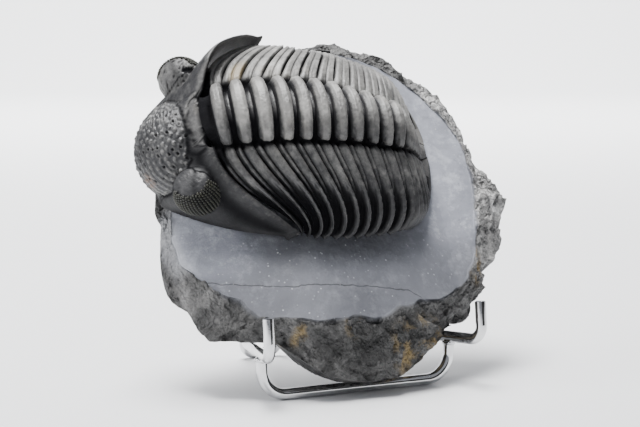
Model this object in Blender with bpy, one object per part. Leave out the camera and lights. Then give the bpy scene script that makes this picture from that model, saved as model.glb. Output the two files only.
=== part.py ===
"""A half-coiled trilobite on its limestone matrix, leaning in a bent wire display stand.

Metres, +Z up. The stand's front foot runs along X and the worked face of the stone looks to -Y.
The animal is described in its own frame: u runs from head to tail, v to its right side and w
out of the worked face. The stone is described in face coordinates: a to the right, b up the
leaning face and c out of it.
"""
import math

import bmesh
import bpy
import numpy as np
from mathutils import Quaternion, Vector, noise

MM = 0.001

# Lean of the worked face from the vertical, and turn of the animal's axis on that face
LEAN = math.radians(37.0)
TURN = math.radians(6.0)
# Foot of the ring lobe of the fourth segment, mm, the origin of the animal's frame
ANCHOR = Vector((-18.0, 13.15, 79.7))
# Depth of the worked face under that point, mm
FACE_DEPTH = 16.4
# Space kept between touching pieces, mm
GAP = 0.35
HEAD_CLEAR = 1.5
# Space between the plates and the coarse faces of the stone under them, mm
SEAT = 1.0

# The twelve joints between head, eleven segments and tail shield, mm: where each crosses
# the axial furrow, where it ends at the pleural tips, its reach and its ring lobe's half-width
JOINT_U = (-18.3, -13.6, -8.5, -2.7, 2.8, 8.4, 14.0, 19.5, 25.0, 30.5, 35.7, 40.5)
TIP_U = (6.0, 7.2, 8.8, 11.0, 13.8, 17.5, 21.0, 24.4, 28.0, 32.0, 36.0, 39.5)
REACH = (29.0, 29.5, 30.0, 30.5, 30.5, 30.5, 30.2, 29.8, 29.0, 28.3, 27.4, 26.0)
AXIS = (9.5, 10.0, 10.3, 10.4, 10.3, 10.2, 10.0, 9.4, 8.8, 8.4, 8.0, 7.3)
SEGMENTS = 11
RING_RISE = 5.6
FAR_REACH = 4.5
NEAR_REACH = 2.2
HOOK = 2.4
TAIL_LENGTH = 18.0
PLATE = 1.7
# Share of a plate's half-width that belongs to the ring lobe
LOBE = 0.34

# Head plane: pitch of the head, and where its rear edge meets the genal corners, mm
PITCH = math.radians(40.0)
HEAD_U = 3.8
HEAD_W = -14.4
HEAD_HALF = 31.9
HEAD_EDGE = 33.4
# Centre and radii of the glabella in the head's frame: forward f, sideways y, up d, mm
GLABELLA = (24.5, 0.0, 8.2)
GLABELLA_RADII = (14.0, 15.4, 13.6)
NECK = (14.6, 0.0, 14.2)
NECK_RADII = (4.8, 12.5, 8.8)
# The eyes stand on either side of a line that lies to the animal's right
EYE = (20.9, 19.0, 14.2)
EYE_RADII = (6.8, 6.2, 8.4)
EYE_SHIFT = 1.5
EYE_TOP = 21.0
TUBERCLES = 170
HEAD_ROUND = 44
HEAD_ACROSS = 33

# Wire stand, mm
WIRE = 1.6
SIDES = 8
FOOT_HALF = 30.2
ARM_Z = 13.6
SPLAY = 0.279
ARM_RISE = 0.04
HOOK_REACH = 12.4
HOOK_RISE = 10.9
HOOK_LEAN = 1.1
ARM_END = 22.0
REST_HALF = 18.0
REST_TOP = (46.0, 58.0)
PROP_HALF = 6.0
PROP_FOOT = 62.0

body_across = Vector((math.cos(TURN), -math.sin(TURN) * math.sin(LEAN), -math.sin(TURN) * math.cos(LEAN)))
body_side = Vector((math.sin(TURN), math.cos(TURN) * math.sin(LEAN), math.cos(TURN) * math.cos(LEAN)))
face_up = Vector((0.0, math.sin(LEAN), math.cos(LEAN)))
face_out = Vector((0.0, -math.cos(LEAN), math.sin(LEAN)))
AXES = np.array([body_across, body_side, face_out])
FACE_AXES = np.array([(1.0, 0.0, 0.0), face_up, face_out])
ORIGIN = np.array(ANCHOR)
FACE_ORIGIN = ORIGIN - FACE_DEPTH * np.array(face_out)


def to_world(uvw):
    """World metres of points in the animal's frame; its tail bends a little to its right."""
    bent = uvw.copy()
    bent[:, 1] += 0.004 * np.clip(uvw[:, 0] - 28.0, 0.0, None) ** 2
    return (ORIGIN + bent @ AXES) * MM


def unbend(uvw):
    """The animal's own u, v, w of points given in its straight frame."""
    back = uvw.copy()
    back[:, 1] -= 0.004 * np.clip(uvw[:, 0] - 28.0, 0.0, None) ** 2
    return back


def smooth(edge0, edge1, x):
    t = np.clip((x - edge0) / (edge1 - edge0), 0.0, 1.0)
    return t * t * (3.0 - 2.0 * t)


def along(values, q):
    """A joint value at any place q between the joints, on a smooth curve, straight past the ends."""
    joints = np.arange(len(values), dtype=float)
    slopes = np.gradient(np.array(values))
    k = np.clip(np.floor(q).astype(int), 0, len(values) - 2)
    t = q - joints[k]
    inside = np.clip(t, 0.0, 1.0)
    table = np.array(values)
    h1 = 2 * inside ** 3 - 3 * inside ** 2 + 1
    h2 = inside ** 3 - 2 * inside ** 2 + inside
    h3 = 3 * inside ** 2 - 2 * inside ** 3
    h4 = inside ** 3 - inside ** 2
    curve = h1 * table[k] + h2 * slopes[k] + h3 * table[k + 1] + h4 * slopes[k + 1]
    return curve + (t - inside) * np.where(t < 0, slopes[k], slopes[k + 1])


def furrow_height(u):
    """Height of the axial furrow along the arched back."""
    fall = np.where(u < 9.0, 0.0095, 0.0060) * (u - 9.0) ** 2
    return 0.6 - fall - 6.8 * np.clip((u - 38.0) / 14.0, 0.0, None) ** 1.6


def stone_plane(u):
    """The worked face under the animal: level in the middle, falling away to both ends."""
    tail = 0.0036 * np.clip(u - 16.0, 0.0, 42.0) ** 2
    head = 0.0155 * np.clip(14.0 - u, 0.0, 14.0) ** 2 + 0.434 * np.clip(-u, 0.0, None)
    return -FACE_DEPTH - tail - head


def mound(u, v):
    """The worked face with the core of stone that fills the arched body."""
    plane = stone_plane(u)
    half = np.interp(u, (-20.0, -8.0, 5.0, 38.0, 44.0, 55.0), (14.0, 22.0, 25.0, 22.0, 18.0, 8.0))
    top = np.clip(furrow_height(u) - plane - 5.0, 0.0, None)
    top = top * smooth(57.0, 42.0, u) * smooth(-16.0, 0.0, u)
    bulge = np.clip(1.0 - (v / half) ** 2, 0.0, 1.0)
    return plane + top * bulge


def shell(q, y):
    """Point of the thorax shell: q counts joints from the head, y runs across from -1 to 1."""
    r = np.clip(q - SEGMENTS, 0.0, 1.0)
    taper = np.sqrt(np.clip(1.0 - r * r, 0.0, 1.0))
    body = np.minimum(q, SEGMENTS)
    u0 = along(JOINT_U, body) + (TAIL_LENGTH - 1.0) * r
    ut = along(TIP_U, body) + TAIL_LENGTH * r
    axis = along(AXIS, body) * (1.0 - 0.72 * r)
    # The front plates reach further out on the animal's right side
    extra = np.where(y > 0.0, FAR_REACH * np.clip(1.0 - q / 4.5, 0.0, 1.2), NEAR_REACH)
    reach = along(REACH, body) + extra
    reach = np.maximum(reach * taper, axis + 0.4)
    f0 = np.maximum(furrow_height(u0), stone_plane(u0) + 1.2)
    tip = np.minimum(stone_plane(ut) + 0.8, f0 - 0.4)
    side = np.abs(y)
    lobe = np.clip(side / LOBE, 0.0, 1.0) * math.pi / 2
    wing = np.clip((side - LOBE) / (1.0 - LOBE), 0.0, 1.0) * math.pi / 2
    x = np.sin(wing)
    sweep = 1.5 + 0.9 * np.clip(1.0 - q / 3.0, 0.0, 1.3) ** 1.4
    bow = 0.8 + 2.9 * np.clip(1.0 - q / 4.0, 0.0, 1.2) ** 1.3
    knee = np.sin(math.pi * (wing / (math.pi / 2)) ** 1.4)
    hook = HOOK * (1.0 - r) * np.clip(q / 3.0, 0.25, 1.0) * knee
    u = u0 + (ut - u0) * x ** sweep + hook - bow * np.cos(lobe)
    v = np.sign(y) * (axis * np.sin(lobe) + (reach - axis) * x)
    w = f0 + RING_RISE * (1.0 - 0.75 * r) * np.cos(lobe) + (tip - f0) * (1.0 - np.cos(wing))
    return np.stack([u, v, w], 1)


def shell_at(q, y, lift):
    """Shell point raised along the shell's own normal by lift."""
    step = 0.02
    here = shell(q, y)
    dq = shell(q + step, y) - shell(q - step, y)
    dy = shell(q, np.clip(y + step, -1, 1)) - shell(q, np.clip(y - step, -1, 1))
    normal = np.cross(dq, dy)
    normal /= np.linalg.norm(normal, axis=1)[:, None] + 1e-9
    return here + normal * lift[:, None], np.linalg.norm(dq, axis=1) / (2 * step)


# Rows of a segment from front to back: front edge, groove, ring's start, its crest, rear edge
ROWS = (0.0, 0.2, 0.38, 0.78, 1.0)


def relief(t, y):
    """Height of the plate's own relief: half-ring, furrow and ring on the lobe, two bands on the pleura."""
    side = np.abs(y)
    ring = np.interp(t, ROWS, (-1.4, -2.0, 0.0, 0.4, -1.0))
    inner = np.interp(t, ROWS, (-0.8, 0.0, -0.8, 0.3, -0.7))
    outer = np.interp(t, ROWS, (-1.1, -1.2, -1.0, 0.6, -0.8)) * np.where(y > 0.0, 0.5, 1.0)
    band = inner + (outer - inner) * smooth(0.6, 0.8, side)
    on_lobe = smooth(LOBE + 0.03, LOBE - 0.05, side)
    groove = -0.5 * np.exp(-((side - LOBE) / 0.03) ** 2)
    fade = 1.0 - 0.5 * smooth(0.85, 1.0, side)
    return (ring * on_lobe + band * (1.0 - on_lobe)) * fade + groove


def sheet(rows, columns):
    """A closed plate on the unit square: z is 0 on its inner face and 1 on its outer one."""
    bm = bmesh.new()
    bmesh.ops.create_grid(bm, x_segments=columns, y_segments=rows, size=0.5)
    lower = bm.verts[:]
    made = bmesh.ops.extrude_face_region(bm, geom=bm.faces[:], use_keep_orig=True)
    upper = [item for item in made["geom"] if isinstance(item, bmesh.types.BMVert)]
    for vert in upper:
        vert.co.z = 1.0
    for vert in lower:
        vert.co.z = 0.0
    bmesh.ops.recalc_face_normals(bm, faces=bm.faces[:])
    return bm


def coordinates(bm):
    return np.array([vert.co[:] for vert in bm.verts])


def place(bm, points):
    for vert, point in zip(bm.verts, points):
        vert.co = point


def finish(name, bm, material, collection):
    bmesh.ops.recalc_face_normals(bm, faces=bm.faces[:])
    if bm.calc_volume(signed=True) < 0.0:
        bmesh.ops.reverse_faces(bm, faces=bm.faces[:])
    mesh = bpy.data.meshes.new(name)
    bm.to_mesh(mesh)
    bm.free()
    mesh.shade_smooth()
    mesh.set_sharp_from_angle(angle=math.radians(40.0))
    mesh.materials.append(material)
    part = bpy.data.objects.new(name, mesh)
    collection.objects.link(part)
    return part


def surface(name, colour, roughness, metallic=0.0):
    material = bpy.data.materials.new(name)
    material.use_nodes = True
    shader = material.node_tree.nodes["Principled BSDF"]
    shader.inputs["Base Color"].default_value = (*colour, 1.0)
    shader.inputs["Roughness"].default_value = roughness
    shader.inputs["Metallic"].default_value = metallic
    return material


def seat(uvw, clearance):
    """Keeps points of the animal above the stone that carries it."""
    flat = uvw.copy()
    floor = mound(uvw[:, 0], uvw[:, 1]) + clearance
    flat[:, 2] = np.maximum(uvw[:, 2], floor)
    return flat


def plate(name, first, last, rows, columns, ribs, material, collection):
    """One plate of the shell between two joints, with its inner face over the stone core."""
    bm = sheet(rows, columns)
    flat = coordinates(bm)
    t = flat[:, 1] + 0.5
    levels = np.interp(t, np.linspace(0.0, 1.0, len(ROWS)), ROWS) if ribs is relief else t
    y = np.sign(flat[:, 0]) * np.interp(np.abs(flat[:, 0]) * 2.0, (0.0, 0.36, 1.0), (0.0, LOBE, 1.0))
    outer = flat[:, 2] > 0.5
    q_middle = first + (last - first) * levels
    _, pace = shell_at(q_middle, y, np.zeros(len(y)))
    trim = np.minimum(0.5 * GAP / np.maximum(pace, 0.5), 0.3)
    start = first + trim
    end = last - (trim if last <= SEGMENTS else 0.002)
    q = start + (end - start) * levels
    lift = ribs(levels, y)
    inner_lift = np.minimum(-PLATE - 0.6, lift - PLATE)
    raised = np.where(outer, lift, inner_lift)
    # The inner face narrows towards the tips so that the plate ends in a blunt edge
    y = np.where(outer, y, y * 0.985)
    points, _ = shell_at(q, y, raised)
    points = seat(points, np.where(outer, SEAT + 0.9, SEAT))
    place(bm, to_world(points).tolist())
    return finish(name, bm, material, collection)


def tail_ribs(t, y):
    """Rings and ribs of the tail shield, fading to its smooth margin."""
    waves = np.cos(t * 2 * math.pi * 4.5)
    return 0.45 * waves * smooth(1.0, 0.7, t) * smooth(1.0, 0.75, np.abs(y)) - 0.5 * smooth(0.1, 0.0, t)


def ellipsoid(f, y, d, centre, radii):
    return 1.0 - np.sqrt(((f - centre[0]) / radii[0]) ** 2 + ((y - centre[1]) / radii[1]) ** 2
                         + ((d - centre[2]) / radii[2]) ** 2)


def blend_max(first, second, width):
    h = np.clip(0.5 + 0.5 * (first - second) / width, 0.0, 1.0)
    return second * (1 - h) + first * h + width * h * (1 - h)


def head_solid(uvw):
    """Positive inside the head: cheeks, swollen glabella, eyes and neck ring."""
    f, y, d = body_to_head(uvw).T
    u, w = uvw[:, 0], uvw[:, 2]
    glabella = 14.0 * ellipsoid(f, y, d, GLABELLA, GLABELLA_RADII)
    neck = 8.0 * ellipsoid(f, y, d, NECK, NECK_RADII)
    joint_u, joint_w = joint_line(y)
    # Share of the way out to the genal corner, which lies further out on the right side
    out = np.abs(y) / np.where(y > 0.0, HEAD_EDGE + FAR_REACH - 0.9, HEAD_EDGE)
    reach = np.interp(out, (0.0, 0.3, 0.45, 0.6, 0.73, 0.85, 0.955, 1.0),
                      (9.5, 10.0, 10.5, 7.5, 6.5, 6.0, 5.0, 3.0))
    behind = joint_u - u
    ahead = np.clip(behind / reach, 0.0, 1.5)
    level = furrow_height(np.array(JOINT_U[0])) - 3.0 * smooth(9.5, 7.0, np.abs(y))
    edge_height = 4.2 - 1.2 * smooth(0.9, 1.0, out)
    crest = np.maximum(np.minimum(joint_w, level), stone_plane(u) + edge_height) + 0.3
    cheek = crest - (crest - stone_plane(u)) * ahead ** 1.8 - w
    # A thick rim runs along the rear edge of the right cheek
    rim = 3.4 * smooth(10.0, 18.0, y) * smooth(1.02, 0.86, out)
    cheek = cheek + rim * np.exp(-((behind - 2.0) / 2.0) ** 2)
    cheek = np.minimum(cheek, 3.2 * HEAD_EDGE * (1.0 - out))
    eye = 8.0 * ellipsoid(f, np.abs(y - EYE_SHIFT), d, EYE, EYE_RADII)
    eye = -blend_max(-eye, d - EYE_TOP, 2.5)
    solid = blend_max(glabella, neck, 0.8)
    solid = blend_max(solid, cheek, 0.8)
    return blend_max(solid, eye, 0.7)


def body_to_head(uvw):
    du, dw = HEAD_U - uvw[:, 0], uvw[:, 2] - HEAD_W
    f = du * math.cos(PITCH) - dw * math.sin(PITCH)
    d = du * math.sin(PITCH) + dw * math.cos(PITCH)
    return np.stack([f, uvw[:, 1], d], 1)


def joint_line(v):
    """Place and height of the joint between head and thorax, at v from the middle."""
    curve = shell(np.zeros(121), np.linspace(-1.0, 1.0, 121))
    return np.interp(v, curve[:, 1], curve[:, 0]), np.interp(v, curve[:, 1], curve[:, 2])


def joint_room(uvw):
    """Positive ahead of the first joint, whose face leans back under the first segment."""
    joint_u, joint_w = joint_line(uvw[:, 1])
    below = joint_w - uvw[:, 2]
    lean = 0.10 * np.clip(below, 0.0, None)
    # The neck ring's own front half lies under the first segment's ring
    tuck = 3.0 * smooth(4.2, 5.4, below) * smooth(24.0, 20.0, np.abs(uvw[:, 1]))
    return joint_u - GAP - 0.1 - lean + tuck - uvw[:, 0]


def stone_room(uvw):
    return uvw[:, 2] - mound(uvw[:, 0], uvw[:, 1]) - HEAD_CLEAR


def inside_head(uvw):
    return np.minimum(np.minimum(head_solid(uvw), joint_room(uvw)), stone_room(uvw))


def tubercles(fyd, spread, rise):
    """Bumps spread evenly over the glabella by a spiral of directions from its centre."""
    rays = (fyd - np.array(GLABELLA)) / np.array(GLABELLA_RADII)
    rays /= np.linalg.norm(rays, axis=1)[:, None]
    index = np.arange(TUBERCLES) + 0.5
    polar = np.arccos(1.0 - 2.0 * index / TUBERCLES)
    turn = math.pi * (1.0 + math.sqrt(5.0)) * index
    spots = np.stack([np.cos(turn) * np.sin(polar), np.sin(turn) * np.sin(polar), np.cos(polar)], 1)
    nearest = np.max(rays @ spots.T, axis=1)
    return rise * smooth(math.cos(spread), 1.0, nearest)


def head_skeleton(across):
    """A line inside the head from genal corner to genal corner, and its forward direction."""
    half = np.where(across > 0.0, HEAD_HALF + FAR_REACH - 0.9, HEAD_HALF)
    v = half * np.sin(across * math.pi / 2)
    middle = 1.0 - (v / half) ** 2
    joint_u, _ = joint_line(v)
    u = joint_u - 1.6 - 4.5 * middle
    w = stone_plane(u) + 1.95 + 8.5 * middle
    slope = np.gradient(u, v)
    forward = np.stack([-np.ones(len(v)), slope, np.zeros(len(v))], 1)
    forward /= np.linalg.norm(forward, axis=1)[:, None]
    return np.stack([u, v, w], 1), forward


def cephalon(material, collection):
    """The head shield: a ball drawn out from a line inside the head to its surface."""
    bm = bmesh.new()
    bmesh.ops.create_uvsphere(bm, u_segments=HEAD_ROUND, v_segments=HEAD_ACROSS, radius=1.0)
    ball = coordinates(bm)
    across = np.arcsin(np.clip(ball[:, 2], -1.0, 1.0)) / (math.pi / 2) * 0.97
    turn = np.arctan2(ball[:, 1], ball[:, 0])
    stations = np.linspace(-0.97, 0.97, 201)
    line, forward = head_skeleton(stations)
    start = np.stack([np.interp(across, stations, line[:, i]) for i in range(3)], 1)
    ahead = np.stack([np.interp(across, stations, forward[:, i]) for i in range(3)], 1)
    pole = np.abs(ball[:, 2]) > 0.9999
    rays = ahead * np.cos(turn)[:, None] + np.array((0.0, 0.0, 1.0)) * np.sin(turn)[:, None]
    rays[pole] = (0.0, 0.0, 1.0)
    rays[:, 1] += 0.4 * np.sign(across) * np.abs(across) ** 6
    low = np.zeros(len(rays))
    alive = np.ones(len(rays), dtype=bool)
    for step in np.arange(0.25, 40.0, 0.25):
        alive &= inside_head(start + rays * step) > 0.0
        low = np.where(alive, step, low)
    high = low + 0.25
    for _ in range(6):
        middle = (low + high) / 2
        inside = inside_head(start + rays * middle[:, None]) > 0.0
        low = np.where(inside, middle, low)
        high = np.where(inside, high, middle)
    points = start + rays * low[:, None]
    fyd = body_to_head(points)
    raised = tubercles(fyd, math.radians(7.5), 0.7) * smooth(16.0, 18.0, fyd[:, 0])
    clear = smooth(1.0, 2.5, joint_room(points)) * smooth(1.0, 2.5, stone_room(points))
    points = points + rays * (raised * clear)[:, None]
    place(bm, to_world(points).tolist())
    return finish("cephalon", bm, material, collection)


# Middle of the stone's face, then its worked edge and its broken outline, mm on the face
FACE_MIDDLE = (18.0, -18.0)
FACE_EDGE = (
    (-26.0, -13.7), (-28.1, -22.5), (-27.6, -31.0), (-23.6, -38.9), (-16.3, -46.2),
    (-12.5, -53.3), (-3.4, -56.3), (1.6, -58.1), (12.7, -57.2), (18.7, -59.5),
    (27.4, -55.6), (35.9, -53.6), (46.0, -51.9), (57.3, -45.0), (62.6, -37.6),
    (66.3, -26.0), (71.1, 2.3), (63.9, 17.4), (56.8, 24.3), (39.5, 30.1),
    (27.0, 31.5), (10.0, 27.5), (-6.0, 19.0), (-17.0, 7.5), (-22.5, -4.0),
)
# Outline points carry their depth under the face as a third number
OUTLINE = (
    (30.8, 37.2, -6.0), (40.7, 39.4, -6.0), (43.8, 37.5, -6.0), (50.7, 36.1, -6.0), (62.2, 35.4, -6.0),
    (64.8, 32.2, -6.0), (71.6, 24.4, -6.0), (76.0, 17.4, -6.0), (78.4, 10.9, -6.0), (78.2, 5.2, -6.0),
    (78.9, -4.5, -6.0), (80.5, -7.1, -6.0), (83.5, -16.4, -6.0), (82.8, -19.3, -6.0), (78.8, -25.9, -6.0),
    (75.5, -33.5, -6.0), (71.7, -37.8, -6.0), (67.7, -40.6, -6.0), (63.6, -47.8, -6.0), (59.6, -50.9, -6.0),
    (58.5, -54.3, -7.0), (49.1, -60.0, -7.0), (44.7, -64.1, -7.0), (37.3, -68.8, -8.0), (30.5, -72.1, -9.0),
    (17.8, -74.1, -9.0), (9.3, -72.7, -9.0), (2.3, -70.6, -9.0), (-2.1, -66.3, -9.0), (-7.1, -60.9, -8.0),
    (-13.0, -59.3, -8.0), (-19.2, -56.9, -8.0), (-23.6, -53.8, -8.0), (-25.3, -48.1, -8.0), (-26.6, -41.8, -8.0),
    (-28.0, -40.0, -8.0), (-30.7, -36.1, -7.0), (-30.6, -27.7, -6.0), (-29.3, -21.4, -6.0), (-27.3, -14.3, -6.0),
    (-28.0, -10.6, -6.0), (-27.0, -6.4, -6.0), (-24.0, 3.0, -6.0), (-17.0, 13.5, -6.0), (-4.0, 24.0, -6.0),
    (12.0, 32.0, -6.0), (22.0, 36.0, -6.0),
)
BACK_SHRINK = 0.9


def polar_table(points):
    """Radii of an outline, and its depths, by angle about the middle of the face."""
    rows = []
    for point in points:
        x, z = point[0] - FACE_MIDDLE[0], point[1] - FACE_MIDDLE[1]
        depth = point[2] if len(point) > 2 else 0.0
        rows.append((math.atan2(z, x), math.hypot(x, z), depth))
    return np.array(sorted(rows))


def outline_radius(table, angle):
    return np.interp(angle, table[:, 0], table[:, 1], period=2 * math.pi)


def rock_noise(points, scale, seed):
    offset = Vector((seed, 2.3 * seed, -seed))
    return np.array([noise.fractal(Vector(p) * scale + offset, 0.9, 2.1, 3) for p in points])


def stand_height(x, y):
    """Lowest the stone may hang, mm: over the foot bar in the middle, on the arms at both sides."""
    arm = FOOT_HALF - SPLAY * y
    edge = np.clip((np.abs(x) - 9.0) / (arm - 13.0), 0.0, 1.0)
    return 4.3 + (ARM_Z + WIRE + 1.4 - 4.3) * edge


def matrix_slab(material, collection):
    """The stone: a ball whose front opens into the worked face and whose waist is the broken rim."""
    bm = bmesh.new()
    bmesh.ops.create_uvsphere(bm, u_segments=56, v_segments=20, radius=1.0)
    ball = coordinates(bm)
    angle = np.arctan2(ball[:, 1], ball[:, 0])
    s = np.arccos(np.clip(ball[:, 2], -1.0, 1.0)) / math.pi
    edge = polar_table(FACE_EDGE)
    rim = polar_table(OUTLINE)
    r_edge = outline_radius(edge, angle)
    r_rim = outline_radius(rim, angle)
    c_rim = np.interp(angle, rim[:, 0], rim[:, 2], period=2 * math.pi)
    # Share of the way from the front pole: face, rim, side and back
    way = np.array((0.0, 0.455, 0.55, 0.64, 1.0))
    radius = np.zeros(len(s))
    face = s < way[1]
    radius = np.where(face, r_edge * s / way[1], radius)
    slope = np.clip((s - way[1]) / (way[2] - way[1]), 0.0, 1.0)
    radius = np.where(s >= way[1], r_edge + (r_rim - r_edge) * slope, radius)
    wall = np.clip((s - way[2]) / (way[3] - way[2]), 0.0, 1.0)
    radius = np.where(s >= way[2], r_rim * (1.0 - (1.0 - BACK_SHRINK) * wall), radius)
    back = np.clip((s - way[3]) / (way[4] - way[3]), 0.0, 1.0)
    radius = np.where(s >= way[3], r_rim * BACK_SHRINK * (1.0 - back), radius)
    a = FACE_MIDDLE[0] + radius * np.cos(angle)
    b = FACE_MIDDLE[1] + radius * np.sin(angle)
    # Face height in the animal's frame, which turns with its axis
    foot = np.stack([a, b, np.zeros(len(a))], 1) @ FACE_AXES + FACE_ORIGIN - ORIGIN
    uvw = unbend(foot @ AXES.T)
    top = mound(uvw[:, 0], uvw[:, 1]) + FACE_DEPTH
    back_depth = np.interp(b, (-70.0, -58.0, 35.0), (-25.0, -27.0, -15.0))
    c = np.where(face, top, 0.0)
    c = np.where(s >= way[1], np.minimum(top, 0.0) * (1 - slope) + (c_rim + np.minimum(top, 0.0)) * slope, c)
    c = np.where(s >= way[2], (c_rim + np.minimum(top, 0.0)) * (1 - wall) + back_depth * wall, c)
    c = np.where(s >= way[3], back_depth - 1.5 * back, c)
    points = np.stack([a, b, c], 1)
    rough = rock_noise(points, 0.085, 3.0)
    push = smooth(way[1] - 0.01, way[1] + 0.05, s) * rough
    points[:, 2] += 2.0 * push
    points[:, 0] += 1.2 * push * np.cos(angle)
    points[:, 1] += 1.2 * push * np.sin(angle)
    world = points @ FACE_AXES + FACE_ORIGIN
    world[:, 2] = np.maximum(world[:, 2], stand_height(world[:, 0], world[:, 1]))
    place(bm, (world * MM).tolist())
    return finish("matrix_slab", bm, material, collection)


def rounded(corners, radius, steps):
    """Corner points of a wire with each inner corner replaced by an arc."""
    corners = [Vector(c) for c in corners]
    path = [corners[0]]
    for before, corner, after in zip(corners, corners[1:], corners[2:]):
        into = (before - corner).normalized()
        out = (after - corner).normalized()
        half = into.angle(out) / 2
        run = radius / math.tan(half)
        centre = corner + (into + out).normalized() * (radius / math.sin(half))
        start = corner + into * run - centre
        turn = math.pi - 2 * half
        axis = start.cross(corner + out * run - centre).normalized()
        for i in range(steps + 1):
            arm = start.copy()
            arm.rotate(Quaternion(axis, turn * i / steps))
            path.append(centre + arm)
    path.append(corners[-1])
    return path


def wire(name, corners, radius, steps, material, collection):
    """A bent wire with its ends closed, made a mesh of flats so that it lies on a flat."""
    curve = bpy.data.curves.new(name, "CURVE")
    curve.dimensions = "3D"
    curve.bevel_depth = WIRE * MM
    curve.bevel_resolution = (SIDES - 4) // 2
    curve.use_fill_caps = True
    path = rounded(corners, radius, steps)
    spline = curve.splines.new("POLY")
    spline.points.add(len(path) - 1)
    for point, place_mm in zip(spline.points, path):
        point.co = (*(place_mm * MM), 1.0)
        point.tilt = math.pi / SIDES
    guide = bpy.data.objects.new(name + "_guide", curve)
    collection.objects.link(guide)
    evaluated = guide.evaluated_get(bpy.context.evaluated_depsgraph_get())
    mesh = bpy.data.meshes.new_from_object(evaluated)
    bm = bmesh.new()
    bm.from_mesh(mesh)
    bmesh.ops.remove_doubles(bm, verts=bm.verts[:], dist=0.00001)
    bpy.data.objects.remove(guide)
    bpy.data.meshes.remove(mesh)
    return finish(name, bm, material, collection)


def arm_point(y, side):
    return (side * (FOOT_HALF - SPLAY * y), y, ARM_Z - ARM_RISE * y)


def stand(material, collection):
    """Front foot, cradle with hooks and backrest, and the rear prop: three bent wires."""
    flat = WIRE * math.cos(math.pi / SIDES)
    leg_top = ARM_Z - WIRE - GAP
    foot = [(-FOOT_HALF, 0, leg_top), (-FOOT_HALF, 0, flat), (FOOT_HALF, 0, flat), (FOOT_HALF, 0, leg_top)]
    wire("stand_front_foot", foot, 7.5, 4, material, collection)
    cradle = []
    for side in (-1, 1):
        base = arm_point(-HOOK_REACH, side)
        tip = (base[0], base[1] + HOOK_LEAN, base[2] + HOOK_RISE)
        half = [tip, base, arm_point(ARM_END, side), (side * REST_HALF, *REST_TOP)]
        cradle += half if side < 0 else half[::-1]
    wire("stand_cradle", cradle, 4.0, 3, material, collection)
    top_y, top_z = REST_TOP
    prop_top = (top_y + 0.8, top_z - 2 * WIRE - GAP)
    prop = [(-PROP_HALF, *prop_top), (-PROP_HALF, PROP_FOOT, flat), (PROP_HALF, PROP_FOOT, flat),
            (PROP_HALF, *prop_top)]
    wire("stand_rear_prop", prop, 4.0, 3, material, collection)


def clear_scene():
    for old in list(bpy.data.objects):
        bpy.data.objects.remove(old, do_unlink=True)


def main():
    clear_scene()
    collection = bpy.data.collections.new("trilobite_on_stand")
    bpy.context.scene.collection.children.link(collection)
    shell_stone = surface("fossil_shell", (0.16, 0.155, 0.15), 0.55)
    limestone = surface("limestone", (0.24, 0.25, 0.28), 0.85)
    chrome = surface("chrome_wire", (0.8, 0.8, 0.8), 0.12, 1.0)
    matrix_slab(limestone, collection)
    cephalon(shell_stone, collection)
    for k in range(SEGMENTS):
        plate(f"thorax_segment_{k + 1:02d}", k, k + 1, 4, 16, relief, shell_stone, collection)
    plate("pygidium", SEGMENTS + 0.02, SEGMENTS + 0.985, 7, 18, tail_ribs, shell_stone, collection)
    stand(chrome, collection)


main()
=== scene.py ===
import math

import bmesh
import bpy
import numpy as np
from mathutils import Matrix, Quaternion, Vector, kdtree, noise


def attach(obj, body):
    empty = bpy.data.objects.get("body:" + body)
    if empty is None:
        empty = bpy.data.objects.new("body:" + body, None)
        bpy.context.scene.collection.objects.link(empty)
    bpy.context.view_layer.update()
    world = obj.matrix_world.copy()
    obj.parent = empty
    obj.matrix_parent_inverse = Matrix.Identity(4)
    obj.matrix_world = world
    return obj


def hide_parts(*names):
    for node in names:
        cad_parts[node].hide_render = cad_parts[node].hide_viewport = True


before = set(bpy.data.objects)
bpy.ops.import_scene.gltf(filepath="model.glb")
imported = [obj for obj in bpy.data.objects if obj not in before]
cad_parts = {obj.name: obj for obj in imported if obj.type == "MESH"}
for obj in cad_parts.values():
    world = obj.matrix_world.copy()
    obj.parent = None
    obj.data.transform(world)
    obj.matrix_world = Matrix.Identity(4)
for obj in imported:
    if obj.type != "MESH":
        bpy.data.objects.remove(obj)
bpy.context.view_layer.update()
MM = 0.001


# The display stand: a front foot, a cradle and a rear prop of polished steel rod, chrome plated.
# Each is one rod bent round a former with its ends left square, and they are welded together
# where they touch; the round rods and the weld beads lie on the CAD wires.
WIRE = 1.6
FOOT_HALF = 30.2
ARM_Z = 13.6
SPLAY = 0.279
ARM_RISE = 0.04
HOOK_REACH = 12.4
HOOK_RISE = 10.9
HOOK_LEAN = 1.1
ARM_END = 22.0
REST_HALF = 18.0
REST_TOP = (46.0, 58.0)
PROP_HALF = 6.0
PROP_FOOT = 62.0
WELD_GAP = 0.35


def node_material(name):
    """A new material with its node tree, its shader and its Object coordinates."""
    material = bpy.data.materials.new(name)
    material.use_nodes = True
    tree = material.node_tree
    shader = tree.nodes["Principled BSDF"]
    place = tree.nodes.new("ShaderNodeTexCoord").outputs["Object"]
    return material, tree, shader, place


def texture(tree, kind, place, scale, **inputs):
    """A texture node on the given coordinates."""
    node = tree.nodes.new(kind)
    node.inputs["Scale"].default_value = scale
    for key, value in inputs.items():
        node.inputs[key.replace("_", " ")].default_value = value
    tree.links.new(place, node.inputs["Vector"])
    return node


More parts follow.
